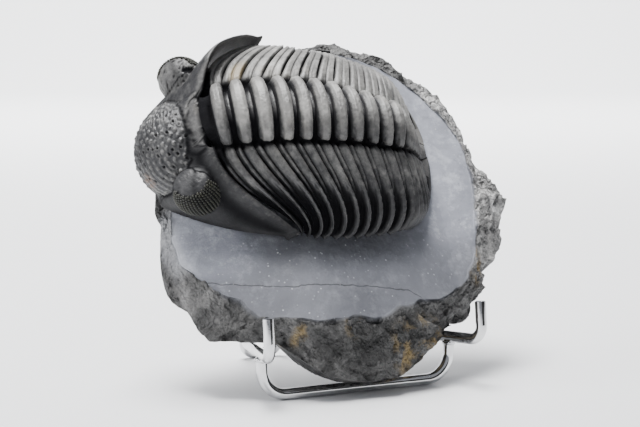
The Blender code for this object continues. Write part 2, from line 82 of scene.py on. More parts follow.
def ramp(tree, source, *stops):
    """A colour ramp over a value: stops are (position, colour) or (position, grey)."""
    node = tree.nodes.new("ShaderNodeValToRGB")
    elements = node.color_ramp.elements
    while len(elements) < len(stops):
        elements.new(0.5)
    for element, (position, colour) in zip(elements, stops):
        element.position = position
        element.color = (*colour, 1.0) if isinstance(colour, tuple) else (colour, colour, colour, 1.0)
    tree.links.new(source, node.inputs["Fac"])
    return node.outputs["Color"]


def blend(tree, amount, first, second, kind="MIX"):
    """Mixes two colours by a value or by a socket."""
    node = tree.nodes.new("ShaderNodeMix")
    node.data_type = "RGBA"
    node.blend_type = kind
    inputs = {"Factor": node.inputs[0], "A": node.inputs[6], "B": node.inputs[7]}
    for key, value in (("Factor", amount), ("A", first), ("B", second)):
        if isinstance(value, bpy.types.NodeSocket):
            tree.links.new(value, inputs[key])
        elif isinstance(value, tuple):
            inputs[key].default_value = (*value, 1.0)
        else:
            inputs[key].default_value = value
    return node.outputs[2]


def value_of(tree, kind, first, second):
    """A Math node on sockets or numbers."""
    node = tree.nodes.new("ShaderNodeMath")
    node.operation = kind
    for socket, value in zip(node.inputs, (first, second)):
        if isinstance(value, bpy.types.NodeSocket):
            tree.links.new(value, socket)
        else:
            socket.default_value = value
    return node.outputs[0]


def bump(tree, shader, height, distance, strength=1.0, below=None):
    """Raises the surface's shading by a height, on top of another bump if one is given."""
    node = tree.nodes.new("ShaderNodeBump")
    node.inputs["Strength"].default_value = strength
    node.inputs["Distance"].default_value = distance
    tree.links.new(height, node.inputs["Height"])
    if below is not None:
        tree.links.new(below, node.inputs["Normal"])
    tree.links.new(node.outputs["Normal"], shader.inputs["Normal"])
    return node.outputs["Normal"]


def chrome_plate():
    """Bright plating with faint drawing marks and a little haze."""
    material, tree, shader, place = node_material("chrome_plate")
    shader.inputs["Metallic"].default_value = 1.0
    haze = texture(tree, "ShaderNodeTexNoise", place, 220.0, Detail=3.0)
    colour = ramp(tree, haze.outputs["Fac"], (0.3, (0.58, 0.58, 0.59)), (0.7, (0.72, 0.72, 0.73)))
    tree.links.new(colour, shader.inputs["Base Color"])
    gloss = ramp(tree, haze.outputs["Fac"], (0.35, 0.03), (0.75, 0.08))
    tree.links.new(gloss, shader.inputs["Roughness"])
    marks = texture(tree, "ShaderNodeTexNoise", place, 900.0, Detail=2.0)
    bump(tree, shader, marks.outputs["Fac"], 0.00002, 0.4)
    return material


chrome = chrome_plate()


def rounded(corners, radius, steps):
    """Points of a bent rod, each inner corner turned on an arc."""
    corners = [Vector(corner) for corner in corners]
    path = [corners[0]]
    for before, corner, after in zip(corners, corners[1:], corners[2:]):
        into = (before - corner).normalized()
        out = (after - corner).normalized()
        half = into.angle(out) / 2
        run = radius / math.tan(half)
        centre = corner + (into + out).normalized() * (radius / math.sin(half))
        start = corner + into * run - centre
        turn = math.pi - 2 * half
        axis = start.cross(corner + out * run - centre).normalized()
        for i in range(steps + 1):
            arm = start.copy()
            arm.rotate(Quaternion(axis, turn * i / steps))
            path.append(centre + arm)
    path.append(corners[-1])
    return path


def new_piece(name, bm, material, crease=60.0):
    """Makes a shaded object of a bmesh whose points are in metres already."""
    bmesh.ops.recalc_face_normals(bm, faces=bm.faces[:])
    if bm.calc_volume(signed=True) < 0.0:
        bmesh.ops.reverse_faces(bm, faces=bm.faces[:])
    mesh = bpy.data.meshes.new(name)
    bm.to_mesh(mesh)
    bm.free()
    mesh.shade_smooth()
    mesh.set_sharp_from_angle(angle=math.radians(crease))
    mesh.materials.append(material)
    piece = bpy.data.objects.new(name, mesh)
    bpy.context.scene.collection.objects.link(piece)
    return piece


def rod(bm, path, thickness, sides):
    """A round rod along a path with eased square ends: a disc extruded from point to point."""
    points = [Vector(p) for p in path]
    side = None
    loops = []
    for i, point in enumerate(points):
        back = points[max(i - 1, 0)]
        ahead = points[min(i + 1, len(points) - 1)]
        along_rod = (ahead - back).normalized()
        if side is None:
            side = along_rod.orthogonal().normalized()
        side = (side - along_rod * side.dot(along_rod)).normalized()
        across = along_rod.cross(side)
        turned = Matrix((side, across, along_rod)).transposed().to_4x4()
        turned.translation = point
        ring = bmesh.ops.create_circle(bm, segments=sides, radius=thickness, matrix=turned)["verts"]
        loops.append(ring)
    for first, second in zip(loops, loops[1:]):
        edges = [e for e in set(e for v in first + second for e in v.link_edges)
                 if all(v in first for v in e.verts) or all(v in second for v in e.verts)]
        bmesh.ops.bridge_loops(bm, edges=edges)
    for ring in (loops[0], loops[-1]):
        cap = bmesh.ops.contextual_create(bm, geom=ring)["faces"]
        bmesh.ops.inset_region(bm, faces=cap, thickness=0.22 * thickness, depth=0.12 * thickness)


def wire_piece(name, corners, radius, node):
    bm = bmesh.new()
    path = rounded(corners, radius, 10)
    rod(bm, path, WIRE, 32)
    bmesh.ops.scale(bm, vec=(MM, MM, MM), verts=bm.verts[:])
    piece = new_piece(name, bm, chrome)
    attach(piece, "root")
    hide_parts(node)
    return piece


def arm_point(y, side):
    return (side * (FOOT_HALF - SPLAY * y), y, ARM_Z - ARM_RISE * y)


leg_top = ARM_Z - WIRE - WELD_GAP
wire_piece("front_foot_rod", [(-FOOT_HALF, 0, leg_top), (-FOOT_HALF, 0, WIRE), (FOOT_HALF, 0, WIRE),
                              (FOOT_HALF, 0, leg_top)], 7.5, "stand_front_foot")
cradle_corners = []
for hand in (-1, 1):
    base = arm_point(-HOOK_REACH, hand)
    tip = (base[0], base[1] + HOOK_LEAN, base[2] + HOOK_RISE)
    half_cradle = [tip, base, arm_point(ARM_END, hand), (hand * REST_HALF, *REST_TOP)]
    cradle_corners += half_cradle if hand < 0 else half_cradle[::-1]
wire_piece("cradle_rod", cradle_corners, 4.0, "stand_cradle")
prop_top = (REST_TOP[0] + 0.8, REST_TOP[1] - 2 * WIRE - WELD_GAP)
wire_piece("rear_prop_rod", [(-PROP_HALF, *prop_top), (-PROP_HALF, PROP_FOOT, WIRE),
                             (PROP_HALF, PROP_FOOT, WIRE), (PROP_HALF, *prop_top)], 4.0, "stand_rear_prop")

bm = bmesh.new()
for spot in ((-FOOT_HALF, 0, leg_top + 0.2), (FOOT_HALF, 0, leg_top + 0.2),
             (-PROP_HALF, prop_top[0], prop_top[1] + 0.3), (PROP_HALF, prop_top[0], prop_top[1] + 0.3)):
    made = bmesh.ops.create_icosphere(bm, subdivisions=4, radius=1.0)["verts"]
    bmesh.ops.scale(bm, vec=(1.9, 2.1, 1.0), verts=made)
    for vert in made:
        ripple = 1.0 + 0.10 * noise.noise(vert.co * 1.6 + Vector(spot))
        vert.co = vert.co * ripple + Vector(spot)
bmesh.ops.scale(bm, vec=(MM, MM, MM), verts=bm.verts[:])
beads = new_piece("weld_beads", bm, chrome)
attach(beads, "root")


# The matrix: a slab of fine grey limestone, ground to a smooth face in front and left broken
# all round and behind. The animal's arched body sits on a core of it. The stone leans on the
# backrest and stands on both arms, with its lowest edge hanging between them.
LEAN = math.radians(37.0)
TURN = math.radians(6.0)
ANCHOR = np.array((-18.0, 13.15, 79.7))
FACE_DEPTH = 16.4
FACE_MIDDLE = (18.0, -18.0)
FACE_EDGE = (
    (-26.0, -13.7), (-28.1, -22.5), (-27.6, -31.0), (-23.6, -38.9), (-16.3, -46.2),
    (-12.5, -53.3), (-3.4, -56.3), (1.6, -58.1), (12.7, -57.2), (18.7, -59.5),
    (27.4, -55.6), (35.9, -53.6), (46.0, -51.9), (57.3, -45.0), (62.6, -37.6),
    (66.3, -26.0), (71.1, 2.3), (63.9, 17.4), (56.8, 24.3), (39.5, 30.1),
    (27.0, 31.5), (10.0, 27.5), (-6.0, 19.0), (-17.0, 7.5), (-22.5, -4.0),
)
OUTLINE = (
    (30.8, 37.2, -6.0), (40.7, 39.4, -6.0), (43.8, 37.5, -6.0), (50.7, 36.1, -6.0), (62.2, 35.4, -6.0),
    (64.8, 32.2, -6.0), (71.6, 24.4, -6.0), (76.0, 17.4, -6.0), (78.4, 10.9, -6.0), (78.2, 5.2, -6.0),
    (78.9, -4.5, -6.0), (80.5, -7.1, -6.0), (83.5, -16.4, -6.0), (82.8, -19.3, -6.0), (78.8, -25.9, -6.0),
    (75.5, -33.5, -6.0), (71.7, -37.8, -6.0), (67.7, -40.6, -6.0), (63.6, -47.8, -6.0), (59.6, -50.9, -6.0),
    (58.5, -54.3, -7.0), (49.1, -60.0, -7.0), (44.7, -64.1, -7.0), (37.3, -68.8, -8.0), (30.5, -72.1, -9.0),
    (17.8, -74.1, -9.0), (9.3, -72.7, -9.0), (2.3, -70.6, -9.0), (-2.1, -66.3, -9.0), (-7.1, -60.9, -8.0),
    (-13.0, -59.3, -8.0), (-19.2, -56.9, -8.0), (-23.6, -53.8, -8.0), (-25.3, -48.1, -8.0), (-26.6, -41.8, -8.0),
    (-28.0, -40.0, -8.0), (-30.7, -36.1, -7.0), (-30.6, -27.7, -6.0), (-29.3, -21.4, -6.0), (-27.3, -14.3, -6.0),
    (-28.0, -10.6, -6.0), (-27.0, -6.4, -6.0), (-24.0, 3.0, -6.0), (-17.0, 13.5, -6.0), (-4.0, 24.0, -6.0),
    (12.0, 32.0, -6.0), (22.0, 36.0, -6.0),
)
BACK_SHRINK = 0.9
SLAB_ROUND = 420
SLAB_DEEP = 200
face_up = np.array((0.0, math.sin(LEAN), math.cos(LEAN)))
face_out = np.array((0.0, -math.cos(LEAN), math.sin(LEAN)))
face_right = np.array((1.0, 0.0, 0.0))
FACE_AXES = np.array((face_right, face_up, face_out))
BODY_AXES = np.array((face_right * math.cos(TURN) - face_up * math.sin(TURN),
                      face_right * math.sin(TURN) + face_up * math.cos(TURN), face_out))
FACE_ORIGIN = ANCHOR - FACE_DEPTH * face_out


def smooth(edge0, edge1, x):
    t = np.clip((x - edge0) / (edge1 - edge0), 0.0, 1.0)
    return t * t * (3.0 - 2.0 * t)


def unbend(uvw):
    """The animal's own u, v, w of points given in its straight frame."""
    back = uvw.copy()
    back[:, 1] -= 0.004 * np.clip(uvw[:, 0] - 28.0, 0.0, None) ** 2
    return back


def furrow_height(u):
    """Height of the axial furrow along the arched back."""
    fall = np.where(u < 9.0, 0.0095, 0.0060) * (u - 9.0) ** 2
    return 0.6 - fall - 6.8 * np.clip((u - 38.0) / 14.0, 0.0, None) ** 1.6


def stone_plane(u):
    """The worked face under the animal: level in the middle, falling away to both ends."""
    tail = 0.0036 * np.clip(u - 16.0, 0.0, 42.0) ** 2
    head = 0.0155 * np.clip(14.0 - u, 0.0, 14.0) ** 2 + 0.434 * np.clip(-u, 0.0, None)
    return -FACE_DEPTH - tail - head


def mound(u, v):
    """The worked face with the core of stone that fills the arched body."""
    plane = stone_plane(u)
    half = np.interp(u, (-20.0, -8.0, 5.0, 38.0, 44.0, 55.0), (14.0, 22.0, 25.0, 22.0, 18.0, 8.0))
    top = np.clip(furrow_height(u) - plane - 5.0, 0.0, None)
    top = top * smooth(57.0, 42.0, u) * smooth(-16.0, 0.0, u)
    bulge = np.clip(1.0 - (v / half) ** 2, 0.0, 1.0)
    return plane + top * bulge


def polar_table(points):
    """Radii of an outline, and its depths, by angle about the middle of the face."""
    rows = []
    for point in points:
        x, z = point[0] - FACE_MIDDLE[0], point[1] - FACE_MIDDLE[1]
        rows.append((math.atan2(z, x), math.hypot(x, z), point[2] if len(point) > 2 else 0.0))
    return np.array(sorted(rows))


def around(table, angle, column):
    return np.interp(angle, table[:, 0], table[:, column], period=2 * math.pi)


def fractal(points, scale, seed, octaves=4, roughness=0.9):
    offset = Vector((seed, 2.3 * seed, -seed))
    return np.array([noise.fractal(Vector(p) * scale + offset, roughness, 2.1, octaves) for p in points])


# Noise vectors start from the clock unless they are given a seed
noise.seed_set(5)


def chips(points, scale, seed):
    """Flat broken facets: each cell of the stone tilts its own way."""
    offset = Vector((seed, -seed, 1.7 * seed))
    out = np.zeros(len(points))
    for i, point in enumerate(points):
        where = Vector(point) * scale + offset
        _, centres = noise.voronoi(where, distance_metric="DISTANCE", exponent=2.5)
        cell = centres[0]
        tilt = noise.noise_vector(cell * 3.1)
        out[i] = (where - cell).dot(tilt) + noise.noise(cell * 5.3) * 0.6
    return out


def stand_height(x, y):
    """Lowest the stone may hang, mm: over the foot bar in the middle, on the arms at both sides."""
    arm = FOOT_HALF - SPLAY * y
    edge = np.clip((np.abs(x) - 9.0) / (arm - 13.0), 0.0, 1.0)
    return 4.3 + (ARM_Z + WIRE + 1.4 - 4.3) * edge


def set_points(mesh, points):
    mesh.vertices.foreach_set("co", np.asarray(points, np.float32).ravel())
    mesh.update()


def point_value(mesh, name, values):
    """Stores one number for each point, for the material to read."""
    layer = mesh.attributes.new(name, "FLOAT", "POINT")
    layer.data.foreach_set("value", np.asarray(values, np.float32))


def read_value(tree, name):
    node = tree.nodes.new("ShaderNodeAttribute")
    node.attribute_name = name
    return node.outputs["Fac"]


def limestone():
    """Blue-grey lime mud rock: whitish scratches and specks on the worked face, brown-grey where broken, with
    painted light and shade laid over both.
    """
    material, tree, shader, place = node_material("limestone_matrix")
    broken = read_value(tree, "broken")
    cloud = texture(tree, "ShaderNodeTexNoise", place, 26.0, Detail=6.0, Roughness=0.62)
    face = ramp(tree, cloud.outputs["Fac"], (0.30, (0.100, 0.104, 0.122)), (0.50, (0.158, 0.164, 0.188)),
                (0.72, (0.232, 0.240, 0.272)))
    dust = texture(tree, "ShaderNodeTexNoise", place, 190.0, Detail=7.0, Roughness=0.75)
    face = blend(tree, ramp(tree, dust.outputs["Fac"], (0.50, 0.0), (0.78, 0.7)), face, (0.32, 0.33, 0.36))
    grime = texture(tree, "ShaderNodeTexNoise", place, 90.0, Detail=8.0, Roughness=0.70)
    rough = ramp(tree, grime.outputs["Fac"], (0.34, (0.016, 0.016, 0.016)), (0.50, (0.066, 0.065, 0.064)),
                 (0.62, (0.145, 0.143, 0.140)), (0.76, (0.30, 0.298, 0.295)))
    colour = blend(tree, broken, face, rough)
    # Painted light and shade: the colour is multiplied by two to the power of a number stored on each point
    painted_light_and_shade = value_of(tree, "POWER", 2.0, read_value(tree, "painted_light_and_shade"))
    colour = blend(tree, 1.0, colour, painted_light_and_shade, "MULTIPLY")
    stain = texture(tree, "ShaderNodeTexNoise", place, 150.0, Detail=6.0, Roughness=0.7)
    mask = ramp(tree, stain.outputs["Fac"], (0.46, 0.0), (0.60, 0.85))
    mask = value_of(tree, "MULTIPLY", read_value(tree, "ochre"), mask)
    colour = blend(tree, mask, colour, (0.27, 0.19, 0.075))
    # Painted light: a light strip along the left edge of the worked face
    colour = blend(tree, read_value(tree, "painted_light"), colour, (0.52, 0.53, 0.56))
    crack = value_of(tree, "ABSOLUTE", read_value(tree, "crack"), 0.0)
    crack = value_of(tree, "ADD", crack, read_value(tree, "crack_end"))
    crack = ramp(tree, crack, (0.10, 0.8), (0.26, 0.0))
    colour = blend(tree, crack, colour, (0.03, 0.03, 0.033))
    speck = texture(tree, "ShaderNodeTexVoronoi", place, 620.0)
    dots = ramp(tree, speck.outputs["Distance"], (0.05, 1.0), (0.20, 0.0))
    rarely = texture(tree, "ShaderNodeTexNoise", place, 230.0, Detail=1.0)
    dots = value_of(tree, "MULTIPLY", dots, ramp(tree, rarely.outputs["Fac"], (0.50, 0.0), (0.60, 0.75)))
    dots = value_of(tree, "MULTIPLY", dots, value_of(tree, "SUBTRACT", 1.0, broken))
    colour = blend(tree, dots, colour, (0.55, 0.56, 0.58))
    tree.links.new(colour, shader.inputs["Base Color"])
    shader.inputs["Roughness"].default_value = 0.66
    fine = texture(tree, "ShaderNodeTexNoise", place, 700.0, Detail=7.0, Roughness=0.75)
    below = bump(tree, shader, fine.outputs["Fac"], 0.00035, 0.8)
    splits = texture(tree, "ShaderNodeTexVoronoi", place, 330.0, Detail=2.0)
    splits = value_of(tree, "MULTIPLY", splits.outputs["Distance"], broken)
    bump(tree, shader, splits, 0.0022, 1.0, below)
    return material


def matrix_piece():
    bm = bmesh.new()
    bmesh.ops.create_uvsphere(bm, u_segments=SLAB_ROUND, v_segments=SLAB_DEEP, radius=1.0)
    piece = new_piece("limestone_matrix", bm, limestone(), 80.0)
    mesh = piece.data
    ball = np.empty(len(mesh.vertices) * 3, np.float32)
    mesh.vertices.foreach_get("co", ball)
    ball = ball.reshape(-1, 3).astype(float)
    angle = np.arctan2(ball[:, 1], ball[:, 0])
    s = np.arccos(np.clip(ball[:, 2], -1.0, 1.0)) / math.pi
    edge, rim = polar_table(FACE_EDGE), polar_table(OUTLINE)
    ripple = 0.8 * fractal(np.stack([np.cos(angle) * 6, np.sin(angle) * 6, s * 0], 1), 1.0, 5.0)
    r_edge = around(edge, angle, 1) + ripple
    r_rim = around(rim, angle, 1)
    c_rim = around(rim, angle, 2)
    way = (0.455, 0.55, 0.64)
    slope = np.clip((s - way[0]) / (way[1] - way[0]), 0.0, 1.0)
    wall = np.clip((s - way[1]) / (way[2] - way[1]), 0.0, 1.0)
    back = np.clip((s - way[2]) / (1.0 - way[2]), 0.0, 1.0)
    radius = np.where(s < way[0], r_edge * s / way[0], r_edge + (r_rim - r_edge) * slope)
    radius = np.where(s >= way[1], r_rim * (1.0 - (1.0 - BACK_SHRINK) * wall), radius)
    radius = np.where(s >= way[2], r_rim * BACK_SHRINK * (1.0 - back), radius)
    a = FACE_MIDDLE[0] + radius * np.cos(angle)
    b = FACE_MIDDLE[1] + radius * np.sin(angle)
    foot = np.stack([a, b, np.zeros(len(a))], 1) @ FACE_AXES + FACE_ORIGIN - ANCHOR
    uvw = unbend(foot @ BODY_AXES.T)
    top = mound(uvw[:, 0], uvw[:, 1]) + FACE_DEPTH
    level = np.minimum(top, 0.0)
    back_depth = np.interp(b, (-70.0, -58.0, 35.0), (-25.0, -27.0, -15.0))
    c = np.where(s < way[0], top, level + c_rim * slope)
    c = np.where(s >= way[1], (c_rim + level) * (1 - wall) + back_depth * wall, c)
    c = np.where(s >= way[2], back_depth - 1.5 * back, c)
    points = np.stack([a, b, c], 1)
    broken = smooth(way[0] - 0.001, way[0] + 0.007, s)
    facets = 2.6 * chips(points, 0.085, 4.0) + 1.9 * chips(points, 0.20, 8.0) + 0.75 * chips(points, 0.48, 2.0)
    push = broken * (1.2 * fractal(points, 0.085, 3.0, 3) + facets + 0.30 * fractal(points, 0.7, 6.0, 4, 0.7))
    push = push + (1.0 - broken) * 0.10 * fractal(points, 0.5, 9.0, 4)
    hollow = np.hypot((points[:, 0] + 22.6) / 6.0, (points[:, 1] + 58.5) / 2.6)
    push = push - 2.5 * broken * smooth(1.2, 0.6, hollow)
    outward = 0.55 * np.clip(slope + wall, 0.0, 1.0) * (1.0 - back)
    points[:, 0] += 0.7 * push * np.cos(angle) * outward
    points[:, 1] += 0.7 * push * np.sin(angle) * outward
    points[:, 2] += push * np.where(s > way[2], -1.0, 1.0)
    world = points @ FACE_AXES + FACE_ORIGIN
    world[:, 2] = np.maximum(world[:, 2], stand_height(world[:, 0], world[:, 1]))
    set_points(mesh, world * MM)
    # A hairline crack over the face, and painted light and shade over the stone
    line = np.array(((-31.0, -34.0), (-25.0, -37.5), (-20.5, -39.5), (-12.0, -43.0), (-4.5, -46.0),
                     (5.5, -47.5), (11.5, -48.0), (24.0, -49.5), (33.0, -50.5), (37.0, -53.0)))
    wander = 0.45 * fractal(points, 0.35, 12.0, 4)
    a, b = points[:, 0], points[:, 1]
    point_value(mesh, "crack", b - np.interp(a, line[:, 0], line[:, 1]) + wander)
    point_value(mesh, "crack_end", np.clip(-31.0 - a, 0.0, None) + np.clip(a - 37.0, 0.0, None) + 4.0 * broken)
    point_value(mesh, "broken", broken)
    # Painted light on the face to the left and right, a painted shadow of the animal across the middle below it,
    # and darker towards the bottom
    painted_light_left = smooth(0.0, -18.0, a) * smooth(-44.0, -34.0, b)
    painted_light_right = smooth(38.0, 56.0, a) * smooth(-44.0, -24.0, b)
    shade = smooth(-46.0, -34.0, b) * smooth(-14.0, 0.0, a) * smooth(44.0, 26.0, a)
    on_face = 1.1 * painted_light_left + 1.0 * painted_light_right - 0.95 * shade - 0.25 * smooth(-44.0, -52.0, b)
    # On the broken rim: lighter on the right and to the left, darker low down, and painted shade in the hollow
    right_side = smooth(56.0, 68.0, a) * smooth(-48.0, -38.0, b)
    low_side = smooth(-52.0, -58.0, b) * smooth(-4.0, 6.0, a)
    on_break = 2.0 * right_side - 0.35 * low_side + 0.25 * smooth(-10.0, -20.0, a)
    painted_light_and_shade = on_face * (1.0 - broken) + on_break * broken - 3.0 * broken * smooth(1.15, 0.8, hollow)
    point_value(mesh, "painted_light_and_shade", painted_light_and_shade)
    spots = ((61.7, -40.7, 8.0), (63.0, -33.0, 4.0), (30.3, -66.2, 9.0), (38.0, -62.0, 7.0), (-2.7, -59.5, 3.0),
             (12.0, -60.0, 4.0))
    ochre = np.zeros(len(points))
    for spot_a, spot_b, size in spots:
        ochre = np.maximum(ochre, smooth(size, 0.3 * size, np.hypot(a - spot_a, b - spot_b)))
    point_value(mesh, "ochre", ochre * broken)
    # Painted light: a light strip along the left edge of the worked face
    left = smooth(2.2, 0.6, np.abs(a - np.interp(b, (-34.0, -22.0, -12.0), (-27.4, -28.4, -26.0))))
    left = left * smooth(-36.0, -30.0, b) * smooth(-10.0, -15.0, b)
    point_value(mesh, "painted_light", np.clip(0.4 * left, 0.0, 1.0) * (s < way[1]))
    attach(piece, "root")
    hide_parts("matrix_slab")


matrix_piece()


# The thorax: eleven segments of one shell, turned to dark calcite and grey limestone. Each has a
# half-ring, a groove and a rounded ring over the axis, and a pleura on each side with a narrow
# front band, a furrow and a wide rear band. They lap like roof tiles, front edge under rear edge.
JOINT_U = (-18.3, -13.6, -8.5, -2.7, 2.8, 8.4, 14.0, 19.5, 25.0, 30.5, 35.7, 40.5)
TIP_U = (6.0, 7.2, 8.8, 11.0, 13.8, 17.5, 21.0, 24.4, 28.0, 32.0, 36.0, 39.5)
REACH = (29.0, 29.5, 30.0, 30.5, 30.5, 30.5, 30.2, 29.8, 29.0, 28.3, 27.4, 26.0)
AXIS = (9.5, 10.0, 10.3, 10.4, 10.3, 10.2, 10.0, 9.4, 8.8, 8.4, 8.0, 7.3)
SEGMENTS = 11
RING_RISE = 5.6
FAR_REACH = 4.5
NEAR_REACH = 2.2
HOOK = 2.4
TAIL_LENGTH = 18.0
PLATE = 1.7
LOBE = 0.34
SEAM = 0.3
SHELL_ROWS = 26
SHELL_COLUMNS = 300


def to_world(uvw):
    """World metres of points in the animal's frame; its tail bends a little to its right."""
    bent = uvw.copy()
    bent[:, 1] += 0.004 * np.clip(uvw[:, 0] - 28.0, 0.0, None) ** 2
    return (ANCHOR + bent @ BODY_AXES) * MM


def along(values, q):
    """A joint value at any place q between the joints, on a smooth curve, straight past the ends."""
    table = np.array(values)
    slopes = np.gradient(table)
    k = np.clip(np.floor(q).astype(int), 0, len(values) - 2)
    t = q - k
    inside = np.clip(t, 0.0, 1.0)
    h1 = 2 * inside ** 3 - 3 * inside ** 2 + 1
    h2 = inside ** 3 - 2 * inside ** 2 + inside
    h3 = 3 * inside ** 2 - 2 * inside ** 3
    h4 = inside ** 3 - inside ** 2
    curve = h1 * table[k] + h2 * slopes[k] + h3 * table[k + 1] + h4 * slopes[k + 1]
    return curve + (t - inside) * np.where(t < 0, slopes[k], slopes[k + 1])


def shell(q, y):
    """Point of the thorax shell: q counts joints from the head, y runs across from -1 to 1."""
    r = np.clip(q - SEGMENTS, 0.0, 1.0)
    taper = np.sqrt(np.clip(1.0 - r * r, 0.0, 1.0))
    body = np.minimum(q, SEGMENTS)
    u0 = along(JOINT_U, body) + (TAIL_LENGTH - 1.0) * r
    ut = along(TIP_U, body) + TAIL_LENGTH * r
    axis = along(AXIS, body) * (1.0 - 0.72 * r)
    reach = along(REACH, body) + np.where(y > 0.0, FAR_REACH * np.clip(1.0 - q / 4.5, 0.0, 1.2), NEAR_REACH)
    reach = np.maximum(reach * taper, axis + 0.4)
    f0 = np.maximum(furrow_height(u0), stone_plane(u0) + 1.2)
    tip = np.minimum(stone_plane(ut) + 0.8, f0 - 0.4)
    side = np.abs(y)
    lobe = np.clip(side / LOBE, 0.0, 1.0) * math.pi / 2
    wing = np.clip((side - LOBE) / (1.0 - LOBE), 0.0, 1.0) * math.pi / 2
    x = np.sin(wing)
    sweep = 1.5 + 0.9 * np.clip(1.0 - q / 3.0, 0.0, 1.3) ** 1.4
    bow = 0.8 + 2.9 * np.clip(1.0 - q / 4.0, 0.0, 1.2) ** 1.3
    hook = HOOK * (1.0 - r) * np.clip(q / 3.0, 0.25, 1.0) * np.sin(math.pi * (wing / (math.pi / 2)) ** 1.4)
    u = u0 + (ut - u0) * x ** sweep + hook - bow * np.cos(lobe)
    v = np.sign(y) * (axis * np.sin(lobe) + (reach - axis) * x)
    w = f0 + RING_RISE * (1.0 - 0.75 * r) * np.cos(lobe) + (tip - f0) * (1.0 - np.cos(wing))
    return np.stack([u, v, w], 1)


def shell_at(q, y, lift):
    """Shell point raised along the shell's own normal by lift, and its pace along q."""
    step = 0.02
    here = shell(q, y)
    dq = shell(q + step, y) - shell(q - step, y)
    dy = shell(q, np.clip(y + step, -1, 1)) - shell(q, np.clip(y - step, -1, 1))
    normal = np.cross(dq, dy)
    normal /= np.linalg.norm(normal, axis=1)[:, None] + 1e-9
    return here + normal * lift[:, None], np.linalg.norm(dq, axis=1) / (2 * step)


def soft_steps(t, places, heights):
    """Heights joined by smooth slopes."""
    out = np.full(len(t), heights[0], float)
    for (t0, t1), (h0, h1) in zip(zip(places, places[1:]), zip(heights, heights[1:])):
        out = np.where(t >= t0, h0 + (h1 - h0) * smooth(t0, t1, t), out)
    return out


def segment_relief(t, y, k):
    """The plate's own relief, mm."""
    side = np.abs(y)
    flank = smooth(0.02, 0.24, side)
    ring = soft_steps(t, (0.0, 0.04, 0.11, 0.16, 0.22, 0.33, 0.50, 0.74, 0.90, 0.97, 1.0),
                      (-1.9, -1.2, -0.70, -0.90, -1.9, -0.3, 0.55, 0.85, 0.45, -0.5, -1.3))
    if k == 0:
        ring = ring - 2.8 * smooth(0.36, 0.26, t)
    thin = soft_steps(t, (0.0, 0.08, 0.18, 0.30, 0.46, 0.72, 0.88, 0.96, 1.0),
                      (-2.3, -2.6, -2.4, -0.8, 0.30, 0.60, 0.10, -1.0, -1.9))
    ring = ring + (thin - ring) * flank
    band = soft_steps(t, (0.0, 0.06, 0.16, 0.26, 0.34, 0.44, 0.60, 0.80, 0.94, 1.0),
                      (-1.4, -0.8, -0.05, -0.2, -1.2, -0.55, 0.10, 0.35, 0.05, -1.0))
    ridge = soft_steps(t, (0.0, 0.12, 0.40, 0.62, 0.78, 0.90, 0.97, 1.0),
                       (-1.7, -2.0, -2.2, -1.9, 0.1, 0.75, 0.2, -1.1))
    plain = soft_steps(t, (0.0, 0.5, 0.8, 1.0), (-1.1, -0.9, 0.1, -0.5))
    band = band + (ridge * np.where(y > 0.0, 0.4, 1.0) - band) * smooth(0.52, 0.74, side)
    band = band + (plain - band) * smooth(0.90, 1.0, side)
    blocks = soft_steps(t, (0.0, 0.06, 0.20, 0.42, 0.50, 0.58, 0.90, 1.0),
                        (-1.1, -0.15, 0.15, 0.05, -0.45, 0.05, 0.15, -0.9))
    band = band + (blocks - band) * smooth(0.10, 0.45, y)
    on_lobe = smooth(LOBE + 0.025, LOBE - 0.035, side)
    groove = -0.6 * np.exp(-((side - LOBE) / 0.020) ** 2)
    return ring * on_lobe + band * (1.0 - on_lobe) + groove


def seat(uvw, clearance):
    """Keeps points of the animal above the stone that carries it."""
    flat = uvw.copy()
    flat[:, 2] = np.maximum(uvw[:, 2], mound(uvw[:, 0], uvw[:, 1]) + clearance)
    return flat


def granules(points, spacing, seed, height, rarity=0.0):
    """Small round grains spread over a surface: one dome in each cell, some left out."""
    offset = Vector((seed, seed * 0.7, -seed))
    out = np.zeros(len(points))
    for i, point in enumerate(points):
        distances, centres = noise.voronoi((Vector(point) + offset) / spacing)
        if noise.noise(centres[0] * 7.7) > rarity - 0.5:
            out[i] = max(0.0, 1.0 - (distances[0] / 0.42) ** 2)
    return height * out


def sheet(rows, columns):
    """A closed plate on the unit square: z is 0 on its inner face and 1 on its outer one."""
    bm = bmesh.new()
    bmesh.ops.create_grid(bm, x_segments=columns, y_segments=rows, size=0.5)
    lower = bm.verts[:]
    made = bmesh.ops.extrude_face_region(bm, geom=bm.faces[:], use_keep_orig=True)
    for vert in made["geom"]:
        if isinstance(vert, bmesh.types.BMVert):
            vert.co.z = 1.0
    for vert in lower:
        vert.co.z = 0.0
    bmesh.ops.recalc_face_normals(bm, faces=bm.faces[:])
    return bm


